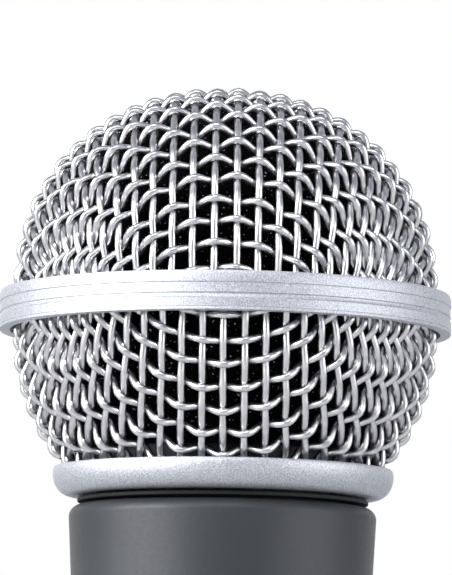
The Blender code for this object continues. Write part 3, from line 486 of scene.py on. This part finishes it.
# Upper half of the ball: square steel wire cloth, plain woven from 0.82 mm wire, nickel plated and drawn
# into a dome. Drawing keeps the distance along each wire, so the squares lean into diamonds at the corners.
wire_radius = 0.41
weft_crimp = 0.70
warp_crimp = 0.16
net_radius = 23.02
skirt_depth = 3.0
side_stretch = 0.08
lattice = 6
wire_offset = 0.16
wire_sway = 0.12
sway_length = 23
wire_chance = 11
rim_overhang = 0.70
rim_half_height = 0.5


def dome_meridian(step, stretch, rise, fullness):
    """Knots down the dome's section in mm, a step apart and drawn out by a share towards its edge."""
    turn = np.linspace(0, math.pi / 2, 20000)
    radius = np.append(net_radius * np.sin(turn) ** (2 / fullness), net_radius)
    height = np.append(rise * np.abs(np.cos(turn)) ** (2 / fullness), -2.0 * skirt_depth)
    run = np.append(0.0, np.cumsum(np.hypot(np.diff(radius), np.diff(height))))
    places = np.arange(0.0, run[-1], step)
    places = places * (1 + stretch * (places / run[-2]) ** 2)
    return np.interp(places, run, radius), np.interp(places, run, height), np.diff(places)


def dome_slope(points, rise, fullness):
    """Outward slope of the dome's skin at points, and how far each point lies off it."""
    side = np.hypot(points[..., 0], points[..., 1])
    height = np.maximum(points[..., 2], 0.0)
    miss = (side / net_radius) ** fullness + (height / rise) ** fullness - 1.0
    lean = fullness * np.maximum(side, 1e-6) ** (fullness - 2) / net_radius**fullness
    stand = fullness * height ** (fullness - 1) / rise**fullness
    return np.stack((lean * points[..., 0], lean * points[..., 1], stand), -1), miss


def drawn_net(step_across, step_along, rise, fullness):
    """Knots of a cloth drawn over a quarter of the dome, each at its set steps from two others."""
    across_radius, across_height, across = dome_meridian(step_across, side_stretch, rise, fullness)
    along_radius, along_height, along = dome_meridian(step_along, 0.0, rise, fullness)
    net = np.full((len(along_radius), len(across_radius), 3), np.nan)
    net[0, :, 0], net[0, :, 1], net[0, :, 2] = across_radius, 0.0, across_height
    net[:, 0, 0], net[:, 0, 1], net[:, 0, 2] = 0.0, along_radius, along_height
    for j in range(1, len(along_radius)):
        for i in range(1, len(across_radius)):
            beside, before = net[j, i - 1], net[j - 1, i]
            if np.isnan(beside[0] + before[0]) or max(beside[2], before[2]) < -skirt_depth:
                break
            knot = beside + before - net[j - 1, i - 1]
            for _ in range(6):
                slope, miss = dome_slope(knot, rise, fullness)
                to_beside, to_before = knot - beside, knot - before
                misses = (miss, to_beside @ to_beside - across[i - 1]**2,
                          to_before @ to_before - along[j - 1]**2)
                knot = knot - np.linalg.solve((slope, 2 * to_beside, 2 * to_before), misses)
            net[j, i] = knot
    return net


def on_cloth(net, across, along):
    """Points of the drawn cloth at signed places, in lattice steps across and along it."""
    i, j = np.abs(across), np.abs(along)
    left = np.minimum(i.astype(int), net.shape[1] - 2)
    back = np.minimum(j.astype(int), net.shape[0] - 2)
    s, t = (i - left)[:, None], (j - back)[:, None]
    point = ((1 - s) * (1 - t) * net[back, left] + s * (1 - t) * net[back, left + 1]
             + (1 - s) * t * net[back + 1, left] + s * t * net[back + 1, left + 1])
    return point * np.stack((np.where(across < 0, -1, 1), np.where(along < 0, -1, 1), np.ones(len(i))), 1)


def wire_runs(points, lowest, highest):
    """The stretches of a wire between two heights, each cut off exactly there."""
    runs, run = [], []
    for a, b in zip(points[:-1], points[1:]):
        if np.isnan(a[2] + b[2]):
            continue
        cuts = sorted((limit - a[2]) / (b[2] - a[2]) for limit in (lowest, highest)
                      if (limit - a[2]) * (limit - b[2]) < 0)
        inside = lowest <= a[2] <= highest
        if inside:
            run.append(a)
        for cut in cuts:
            run.append(a + (b - a) * cut)
            if inside:
                runs.append(run)
                run = []
            inside = not inside
    runs.append(run)
    return [r for r in runs if len(r) > 2]


def wire_curve(name, radius):
    """A new, empty curve of round wire of a radius in mm, with closed ends."""
    curve = bpy.data.curves.new(name, "CURVE")
    curve.dimensions = "3D"
    curve.bevel_depth = radius * MM
    curve.bevel_resolution = 3
    curve.use_fill_caps = True
    return curve


def wire_mesh(name, curve):
    """The curve as a mesh piece, selected and active."""
    bpy.ops.object.select_all(action="DESELECT")
    wires = bpy.data.objects.new(name, curve)
    bpy.context.collection.objects.link(wires)
    wires.select_set(True)
    bpy.context.view_layer.objects.active = wires
    bpy.ops.object.convert(target="MESH")
    return wires


def woven_half(name, pitch_across, pitch_along, shift, rise, fullness, lowest, highest, centre, up):
    """Weave one half of the ball from round wire and press a flat rim on its edge."""
    net = drawn_net(pitch_across / lattice, pitch_along / lattice, rise, fullness)
    chance = np.random.default_rng(wire_chance + up)
    curve = wire_curve(name, wire_radius)
    for lengthways in (True, False):
        reach = net.shape[0 if lengthways else 1]
        count = net.shape[1 if lengthways else 0]
        first = shift[0] if lengthways else shift[1]
        other = shift[1] if lengthways else shift[0]
        places = np.arange(-reach + 1, reach, 1.0)
        for number in range(-count, count + 1):
            if (number - first) % lattice:
                continue
            sway = (chance.normal(0, wire_offset)
                    + chance.normal(0, wire_sway) * np.cos(places / sway_length + chance.uniform(0, 6)))
            track = np.full(len(places), float(number)) + sway
            base = on_cloth(net, track, places) if lengthways else on_cloth(net, places, track)
            slope, _ = dome_slope(base, rise, fullness)
            out = slope / np.linalg.norm(slope, axis=1)[:, None]
            beat = math.pi * ((number - first) + (places - other)) / lattice
            weave = np.cos(beat) * (-warp_crimp if lengthways else weft_crimp)
            for run in wire_runs(base + out * weave[:, None], lowest, highest):
                spline = curve.splines.new("POLY")
                spline.points.add(len(run) - 1)
                for point, (x, y, z) in zip(spline.points, run):
                    point.co = (x * MM, y * MM, (centre + up * z) * MM, 1.0)
    wires = wire_mesh(name, curve)
    bpy.ops.object.shade_smooth()
    rim_middle = centre + up * lowest
    turned(name + "_rim", [
        (net_radius + rim_overhang, rim_middle + rim_half_height),
        (net_radius + rim_overhang, rim_middle - rim_half_height),
        (net_radius - rim_overhang, rim_middle - rim_half_height),
        (net_radius - rim_overhang, rim_middle + rim_half_height),
    ], steps=96)
    wires.select_set(True)
    bpy.context.view_layer.objects.active = wires
    bpy.ops.object.join()
    return wires


upper_centre = 138.45
upper = woven_half("upper_wire_cloth", pitch_across=2.38, pitch_along=2.53, shift=(lattice // 2, 0),
                   rise=22.47, fullness=2.16, lowest=-0.8, highest=99.0, centre=upper_centre, up=1)

# Satin nickel on drawn steel wire: bright and smooth, a little uneven where the plating is thin, with a
# fine grain. Its tint at a flat angle is greyer than its face, which is painted shade on the wires' edges.
nickel, tree, sockets, place = new_finish("plated_steel_wire", "E6E6E7", 0.22, 1.0)
# Painted shade: the grey edge tint darkens the sides of each wire, where real nickel stays bright.
sockets["Specular Tint"].default_value = linear("6A7078")
patches = add_node(tree, "ShaderNodeTexNoise", {"Scale": 1 / (1.1 * MM), "Detail": 4.0},
                   [(place, "Vector")])
add_node(tree, "ShaderNodeMapRange", {"To Min": 0.25, "To Max": 0.35},
         [(patches.outputs["Fac"], "Value")], sockets["Roughness"])
tint = add_node(tree, "ShaderNodeValToRGB", {}, [(patches.outputs["Fac"], "Fac")], sockets["Base Color"])
tint.color_ramp.elements[0].position = 0.3
tint.color_ramp.elements[0].color = linear("DEDDE1")
tint.color_ramp.elements[1].position = 0.7
tint.color_ramp.elements[1].color = linear("FAF9F9")
grain = add_node(tree, "ShaderNodeTexNoise", {"Scale": 1 / (0.25 * MM), "Detail": 3.0}, [(place, "Vector")])
add_node(tree, "ShaderNodeBump", {"Strength": 0.3, "Distance": 0.02 * MM},
         [(grain.outputs["Fac"], "Height")], sockets["Normal"])
upper.data.materials.clear()
upper.data.materials.append(nickel)
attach(upper, "grille")
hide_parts("upper_mesh")

# Lower half of the ball: the same cloth drawn into a bowl, open below, with its wire ends in the collar's
# groove. Its wires run with a column on the microphone's front line.
lower_centre = 134.65
wire_ends = 118.3
lower = woven_half("lower_wire_cloth", pitch_across=2.34, pitch_along=2.63, shift=(0, lattice // 2),
                   rise=net_radius, fullness=2.03, lowest=-0.8, highest=lower_centre - wire_ends,
                   centre=lower_centre, up=-1)
lower.data.materials.clear()
lower.data.materials.append(nickel)
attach(lower, "grille")
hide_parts("lower_mesh")

# Foam liner: a moulded ball of black open-cell foam, pushed into the grille from below. It lies just behind
# the wires and stops breath and dust.
foam_radius = 21.75
foam_wall = 2.6
foam_inner = foam_radius - foam_wall
foam_flat = 0.55
foam_bottom = 121.15
foam_play = 0.05
soft_smooth = math.radians(60)
foam = turned("foam_ball", [
    *arc((0, upper_centre), (foam_radius, foam_radius - foam_flat), 90, 0, 24),
    *arc((0, lower_centre), foam_radius, 0, -38, 12),
    (collar_bore + foam_play, foam_bottom),
    *arc((0, lower_centre), foam_inner, -40, 0, 10),
    *arc((0, upper_centre), (foam_inner, foam_inner - foam_flat), 0, 90, 20),
], closed=False, smooth=soft_smooth)

# Open-cell foam: dull black, with cells of about 0.6 mm and pale painted highlights where cell walls would
# catch the light. Such walls are about 0.1 mm, and the painted highlights are drawn as specks at 0.28 mm so
# that they show.
cells_black, tree, sockets, place = new_finish("open_cell_foam", "0C0C0D", 0.95)
sockets["Specular IOR Level"].default_value = 0.05
cells = add_node(tree, "ShaderNodeTexVoronoi", {"Scale": 1 / (0.6 * MM)}, [(place, "Vector")])
tint = add_node(tree, "ShaderNodeValToRGB", {}, [(cells.outputs["Distance"], "Fac")])
tint.color_ramp.elements[0].color = linear("020202")
tint.color_ramp.elements[1].color = linear("060607")
# Painted highlight: pale specks added to the black foam's colour as glints of cell walls.
glint_specks = add_node(tree, "ShaderNodeTexNoise", {"Scale": 1 / (0.28 * MM), "Detail": 1.0},
                  [(place, "Vector")])
painted_glints = add_node(tree, "ShaderNodeValToRGB", {}, [(glint_specks.outputs["Fac"], "Fac")])
painted_glints.color_ramp.elements[0].position = 0.71
painted_glints.color_ramp.elements[0].color = linear("000000")
painted_glints.color_ramp.elements[1].position = 0.75
painted_glints.color_ramp.elements[1].color = linear("B4B6BC")
mixed = add_node(tree, "ShaderNodeMix", {"data_type": "RGBA", "blend_type": "ADD", 0: 1.0},
                 [(tint.outputs["Color"], 6), (painted_glints.outputs["Color"], 7)])
tree.links.new(mixed.outputs[2], sockets["Base Color"])
add_node(tree, "ShaderNodeBump", {"Strength": 0.8, "Distance": 0.25 * MM},
         [(cells.outputs["Distance"], "Height")], sockets["Normal"])
foam.data.materials.append(cells_black)
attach(foam, "grille")
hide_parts("foam_liner")

# Transformer pads: two rings of the same black foam, die cut, that wedge the transformer in the handle.
# They bulge a little between the core and the casting.
pad_bore = 3.2
pad_half_height = 1.9
pad_bulge = 1.2
pad_edge_width = 0.5
pad_edge_height = 0.6
for name, node, pad_radius, pad_middle in (
        ("pad_above", "transformer_pad_upper", 10.31, 67.2),
        ("pad_below", "transformer_pad_lower", 9.67, 50.6)):
    pad_edge = pad_half_height - pad_edge_height
    pad = turned(name, [
        *arc((pad_bore + pad_edge_width, pad_middle - pad_edge), (pad_edge_width, pad_edge_height),
             -180, -90, 5),
        *arc((pad_radius - pad_bulge, pad_middle), (pad_bulge, pad_half_height), -90, 90, 14),
        *arc((pad_bore + pad_edge_width, pad_middle + pad_edge), (pad_edge_width, pad_edge_height),
             90, 180, 5),
    ], steps=96, smooth=soft_smooth)
    pad.data.materials.append(cells_black)
    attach(pad, "handle")
    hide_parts(node)

# Damping felt: a ring punched from pressed wool, with soft edges, laid in the hollow of the magnet cup. It
# is grey and dull, with paler and darker fibres in all directions.
felt = turned("felt_ring", ring_section(
    inner=5.3, outer=7.4, bottom=126.25, top=129.25, edge=0.5, count=5), steps=96, smooth=soft_smooth)
wool, tree, sockets, place = new_finish("pressed_wool", "77787B", 0.95)
fibres = add_node(tree, "ShaderNodeTexNoise", {"Scale": 1 / (0.2 * MM), "Detail": 6.0, "Distortion": 2.0},
                  [(place, "Vector")])
tint = add_node(tree, "ShaderNodeValToRGB", {}, [(fibres.outputs["Fac"], "Fac")], sockets["Base Color"])
tint.color_ramp.elements[0].color = linear("4C4D50")
tint.color_ramp.elements[1].color = linear("9A9B9E")
add_node(tree, "ShaderNodeBump", {"Strength": 0.8, "Distance": 0.1 * MM},
         [(fibres.outputs["Fac"], "Height")], sockets["Normal"])
felt.data.materials.append(wool)
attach(felt, "capsule")
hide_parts("damping_felt")

# Front cloth and slot screen: fine grey synthetic cloth, a disc glued under the cap and a strip wound round
# the slots of the housing, both 0.2 mm thick.
cloth_thickness = 0.2
front_radius = 10.8
front_height = 139.5
front_top = front_height + cloth_thickness / 2
front_bottom = front_height - cloth_thickness / 2
front_crown = 0.02
front_margin = 1.0
front = turned("front_cloth_disc", [
    (0, front_top + front_crown),
    (front_radius - front_margin, front_top),
    (front_radius, front_height),
    (front_radius, front_bottom),
    (0, front_bottom + front_crown),
], closed=False, steps=96, smooth=soft_smooth)
screen_inner = 12.62
screen_outer = screen_inner + cloth_thickness
screen_belly = 0.04
screen_bottom = 124.9
screen_middle = 128.2
screen_top = 131.5
screen = turned("slot_screen_strip", [
    (screen_inner, screen_bottom),
    (screen_outer, screen_bottom),
    (screen_outer + screen_belly, screen_middle),
    (screen_outer, screen_top),
    (screen_inner, screen_top),
    (screen_inner + screen_belly, screen_middle),
], steps=96, smooth=soft_smooth)

# Woven grey cloth: dull, with crossing threads. Real threads are about 0.1 mm apart and are drawn at 0.35
# mm so that they show. The wave texture's phase is 20 times its scale times the distance.
woven_grey, tree, sockets, place = new_finish("woven_grey", "6E7074", 0.85)
wave_phase = 20
cloth_pitch = 0.35
cloth_scale = math.tau / (wave_phase * cloth_pitch * MM)
threads = []
for axis in ("X", "Y", "Z"):
    wave = add_node(tree, "ShaderNodeTexWave", {"Scale": cloth_scale, "bands_direction": axis},
                    [(place, "Vector")])
    threads.append(wave.outputs["Fac"])
crossed = add_node(tree, "ShaderNodeMath", {"operation": "MAXIMUM"}, [(threads[0], 0), (threads[1], 1)])
crossed = add_node(tree, "ShaderNodeMath", {"operation": "MULTIPLY"},
                   [(crossed.outputs[0], 0), (threads[2], 1)])
tint = add_node(tree, "ShaderNodeValToRGB", {}, [(crossed.outputs[0], "Fac")], sockets["Base Color"])
tint.color_ramp.elements[0].color = linear("47484B")
tint.color_ramp.elements[1].color = linear("85878B")
add_node(tree, "ShaderNodeBump", {"Strength": 0.5, "Distance": 0.05 * MM},
         [(crossed.outputs[0], "Height")], sockets["Normal"])
for cloth, node in ((front, "front_cloth"), (screen, "rear_slot_screen")):
    cloth.data.materials.append(woven_grey)
    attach(cloth, "capsule")
    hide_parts(node)

# Capsule mouldings: the housing, the chamber behind it and the cap in front, moulded in one black plastic
# and cemented together. They are the part's own solids with the finish of the connector block.
for node in ("capsule_housing", "rear_chamber", "resonator_cap"):
    bpy.data.objects[node].data.materials[0] = moulded

# Magnet system and rings: iron pieces turned and glued together on one axis, grey with warm patches of
# oxide, and two rings of bare steel strip, which clamp the film and back the band.
iron, tree, sockets, place = new_finish("soft_iron_turned", "6B6C6F", 0.42, 1.0)
oxide = add_node(tree, "ShaderNodeTexNoise", {"Scale": 1 / (3 * MM), "Detail": 6.0}, [(place, "Vector")])
tint = add_node(tree, "ShaderNodeValToRGB", {}, [(oxide.outputs["Fac"], "Fac")], sockets["Base Color"])
tint.color_ramp.elements[0].color = linear("55504C")
tint.color_ramp.elements[1].color = linear("808286")
for node in ("yoke_cup", "magnet", "pole_piece", "top_plate"):
    bpy.data.objects[node].data.materials[0] = iron
for node in ("clamp_ring", "band_inner_ring"):
    bpy.data.objects[node].data.materials[0] = bare_steel

# Transformer core: varnished iron sheets of 0.35 mm, stacked from front to back and pressed together. Their
# edges show as fine light lines with dark varnish between them.
sheets, tree, sockets, place = new_finish("stacked_iron", "5A5854", 0.5, 1.0)
sheet_pitch = 0.35
sheet_scale = math.tau / (wave_phase * sheet_pitch * MM)
layers = add_node(tree, "ShaderNodeTexWave", {"Scale": sheet_scale, "bands_direction": "Y"},
                  [(place, "Vector")])
tint = add_node(tree, "ShaderNodeValToRGB", {}, [(layers.outputs["Fac"], "Fac")], sockets["Base Color"])
tint.color_ramp.elements[0].color = linear("2B2A28")
tint.color_ramp.elements[1].position = 0.4
tint.color_ramp.elements[1].color = linear("6C6A66")
bpy.data.objects["transformer_core"].data.materials[0] = sheets

# Windings: enamelled copper wire, wound turn on turn on the transformer and on the voice coil. Its colour
# is painted lighter on the ridges of the turns and darker in the gaps, as painted highlight and painted
# shade.
# The voice coil's wire is really finer, and is drawn at 0.25 mm too.
copper, tree, sockets, place = new_finish("enamelled_copper", "A5552C", 0.3, 1.0)
turn_pitch = 0.25
turn_scale = math.tau / (wave_phase * turn_pitch * MM)
painted_turn_shading = add_node(tree, "ShaderNodeTexWave", {"Scale": turn_scale, "bands_direction": "Z"},
                 [(place, "Vector")])
# Painted shade and highlight: the copper is darkened in the gaps between turns and lightened on their
# ridges.
tint = add_node(tree, "ShaderNodeValToRGB", {}, [(painted_turn_shading.outputs["Fac"], "Fac")], sockets["Base Color"])
tint.color_ramp.elements[0].color = linear("5A2A14")
tint.color_ramp.elements[1].color = linear("B8683A")
add_node(tree, "ShaderNodeBump", {"Strength": 0.6, "Distance": 0.06 * MM},
         [(painted_turn_shading.outputs["Fac"], "Height")], sockets["Normal"])
for node in ("transformer_winding", "voice_coil"):
    bpy.data.objects[node].data.materials[0] = copper

# Diaphragm: a thin clear polyester film, formed hot and glued to the voice coil. It shows as a clear skin
# with faint ripples that bend the light.
film, tree, sockets, place = new_finish("clear_polyester", "E8EAEC", 0.12)
sockets["Transmission Weight"].default_value = 0.85
sockets["IOR"].default_value = 1.57
ripple = add_node(tree, "ShaderNodeTexNoise", {"Scale": 1 / (2 * MM), "Detail": 1.0}, [(place, "Vector")])
add_node(tree, "ShaderNodeBump", {"Strength": 0.2, "Distance": 0.05 * MM},
         [(ripple.outputs["Fac"], "Height")], sockets["Normal"])
bpy.data.objects["diaphragm"].data.materials[0] = film

# Terminal board and terminals: a punched board of brown laminated paper, with two gold plated posts riveted
# through it. The paper gives the board a cloudy brown.
laminate, tree, sockets, place = new_finish("brown_laminate", "6A4526", 0.45)
paper = add_node(tree, "ShaderNodeTexNoise", {"Scale": 1 / (0.9 * MM), "Detail": 5.0}, [(place, "Vector")])
tint = add_node(tree, "ShaderNodeValToRGB", {}, [(paper.outputs["Fac"], "Fac")], sockets["Base Color"])
tint.color_ramp.elements[0].color = linear("553519")
tint.color_ramp.elements[1].color = linear("7D5632")
bpy.data.objects["terminal_board"].data.materials[0] = laminate
for node in ("terminal_hot", "terminal_return"):
    bpy.data.objects[node].data.materials[0] = gold

# Leads: soft insulated wire of 1 mm, soldered at both ends, red for the hot side and pale grey for the
# return. The two from the capsule give a little when it floats; the three to the pins stay still.
lead_radius = 0.5
lead_bow = 2.0
lead_steps = 32
lead_smooth = math.radians(40)


def soft_lead(name, start, end, sleeve, node):
    """Lay a lead between two points in mm, upright at both ends and bowed outwards on its way."""
    curve = wire_curve(name, lead_radius)
    spline = curve.splines.new("POLY")
    spline.points.add(lead_steps)
    outward = math.atan2(start[1] + end[1], start[0] + end[0])
    for i, point in enumerate(spline.points):
        share = i / lead_steps
        ease = share * share * (3 - 2 * share)
        bow = lead_bow * math.sin(math.pi * share) ** 2
        point.co = ((start[0] + (end[0] - start[0]) * ease + bow * math.cos(outward)) * MM,
                    (start[1] + (end[1] - start[1]) * ease + bow * math.sin(outward)) * MM,
                    (start[2] + (end[2] - start[2]) * share) * MM, 1.0)
    wire = wire_mesh(name, curve)
    bpy.ops.object.shade_smooth_by_angle(angle=lead_smooth)
    wire.data.materials.clear()
    wire.data.materials.append(sleeve)
    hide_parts(node)
    return wire


# Lead sleeves: soft plastic in a plain colour, drawn over the wire. It is half glossy, with duller smudges
# from handling.
sleeves = {}
for colour, code in (("red", "9E2320"), ("grey", "C9C8C2")):
    sleeves[colour], tree, sockets, place = new_finish("lead_sleeve_" + colour, code, 0.4)
    smudge = add_node(tree, "ShaderNodeTexNoise", {"Scale": 1 / (1.2 * MM), "Detail": 3.0},
                      [(place, "Vector")])
    add_node(tree, "ShaderNodeMapRange", {"To Min": 0.3, "To Max": 0.55},
             [(smudge.outputs["Fac"], "Value")], sockets["Roughness"])
post_side, post_height = 3.0, 91.5
tap_side, tap_height = 1.5, 65.2
output_share, output_height = 0.316, 52.6
cup_height = 26.3
for name, side, colour in (("hot", 1, "red"), ("return", -1, "grey")):
    wire = soft_lead("capsule_wire_" + name, (side * post_side, 0, post_height),
                     (side * tap_side, 0, tap_height), sleeves[colour], "capsule_lead_" + name)
    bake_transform(wire)
for number, (x, y) in enumerate(pin_places, start=1):
    wire = soft_lead(f"pin_wire_{number}", (output_share * x, output_share * y, output_height),
                     (x, y, cup_height), sleeves["grey" if number == 1 else "red"],
                     f"output_lead_{number}")
    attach(wire, "handle")

# Floor: a wide matt sheet that the microphone stands on, painted a pale grey. It is no part of the
# microphone and only belongs to the room.
floor_size = 6
bpy.ops.object.select_all(action="DESELECT")
bpy.ops.mesh.primitive_plane_add(size=floor_size, location=(0, 0, 0))
floor = bpy.context.object
floor.name = "studio_floor"
floor.data.materials.append(new_finish("pale_floor", "C0C0C0", 0.8)[0])

# Light: a white sweep behind and a dim room towards the camera. A large box at the left and a weaker one at
# the right are turned up, so that little of their light falls on the floor, and a small one in front above
# lights the crown.
world = bpy.data.worlds.new("studio")
bpy.context.scene.world = world
world.use_nodes = True
tree = world.node_tree
background = tree.nodes["Background"].inputs
way = add_node(tree, "ShaderNodeTexCoord", {}).outputs["Generated"]
parts = add_node(tree, "ShaderNodeSeparateXYZ", {}, [(way, "Vector")])
sweep = add_node(tree, "ShaderNodeMapRange", {"From Min": 0.25, "From Max": 0.95},
                 [(parts.outputs["Y"], "Value")])
room = add_node(tree, "ShaderNodeMix", {"data_type": "RGBA", 6: linear("848A94"), 7: linear("FFFFFF")},
                [(sweep.outputs["Result"], 0)])
tree.links.new(room.outputs[2], background["Color"])
background["Strength"].default_value = 1.0

for name, location, aim_height, size, energy in (
        ("key_box", (-1.50, -0.80, 1.07), 1.5, 1.6, 68.0),
        ("fill_box", (1.62, -0.64, 0.77), 1.5, 1.6, 18.0),
        ("top_box", (0.0, -1.00, 1.33), 0.135, 0.8, 6.0)):
    lamp = bpy.data.lights.new(name, "AREA")
    lamp.size = size
    lamp.energy = energy
    box = bpy.data.objects.new(name, lamp)
    bpy.context.collection.objects.link(box)
    box.location = location
    box.rotation_euler = (Vector((0, 0, aim_height)) - box.location).to_track_quat("-Z", "Y").to_euler()
    box.visible_camera = False

# Camera: a long lens in front of the ball and below it, looking up by 6.4 degrees and tilted a little, as
# in the photo.
camera_turn = 0.0057
camera_pitch = math.radians(96.42)
camera_tilt = math.radians(0.8)
lens = bpy.data.cameras.new("camera")
lens.sensor_width = 36
lens.lens = 299.75
camera = bpy.data.objects.new("camera", lens)
bpy.context.collection.objects.link(camera)
camera.rotation_mode = "QUATERNION"
camera.rotation_quaternion = (Quaternion((0, 0, 1), camera_turn) @ Quaternion((1, 0, 0), camera_pitch)
                              @ Quaternion((0, 0, 1), camera_tilt))
camera.location = (0.0031, -0.5381, 0.0790)
bpy.context.scene.camera = camera
bpy.context.scene.view_settings.view_transform = "Standard"
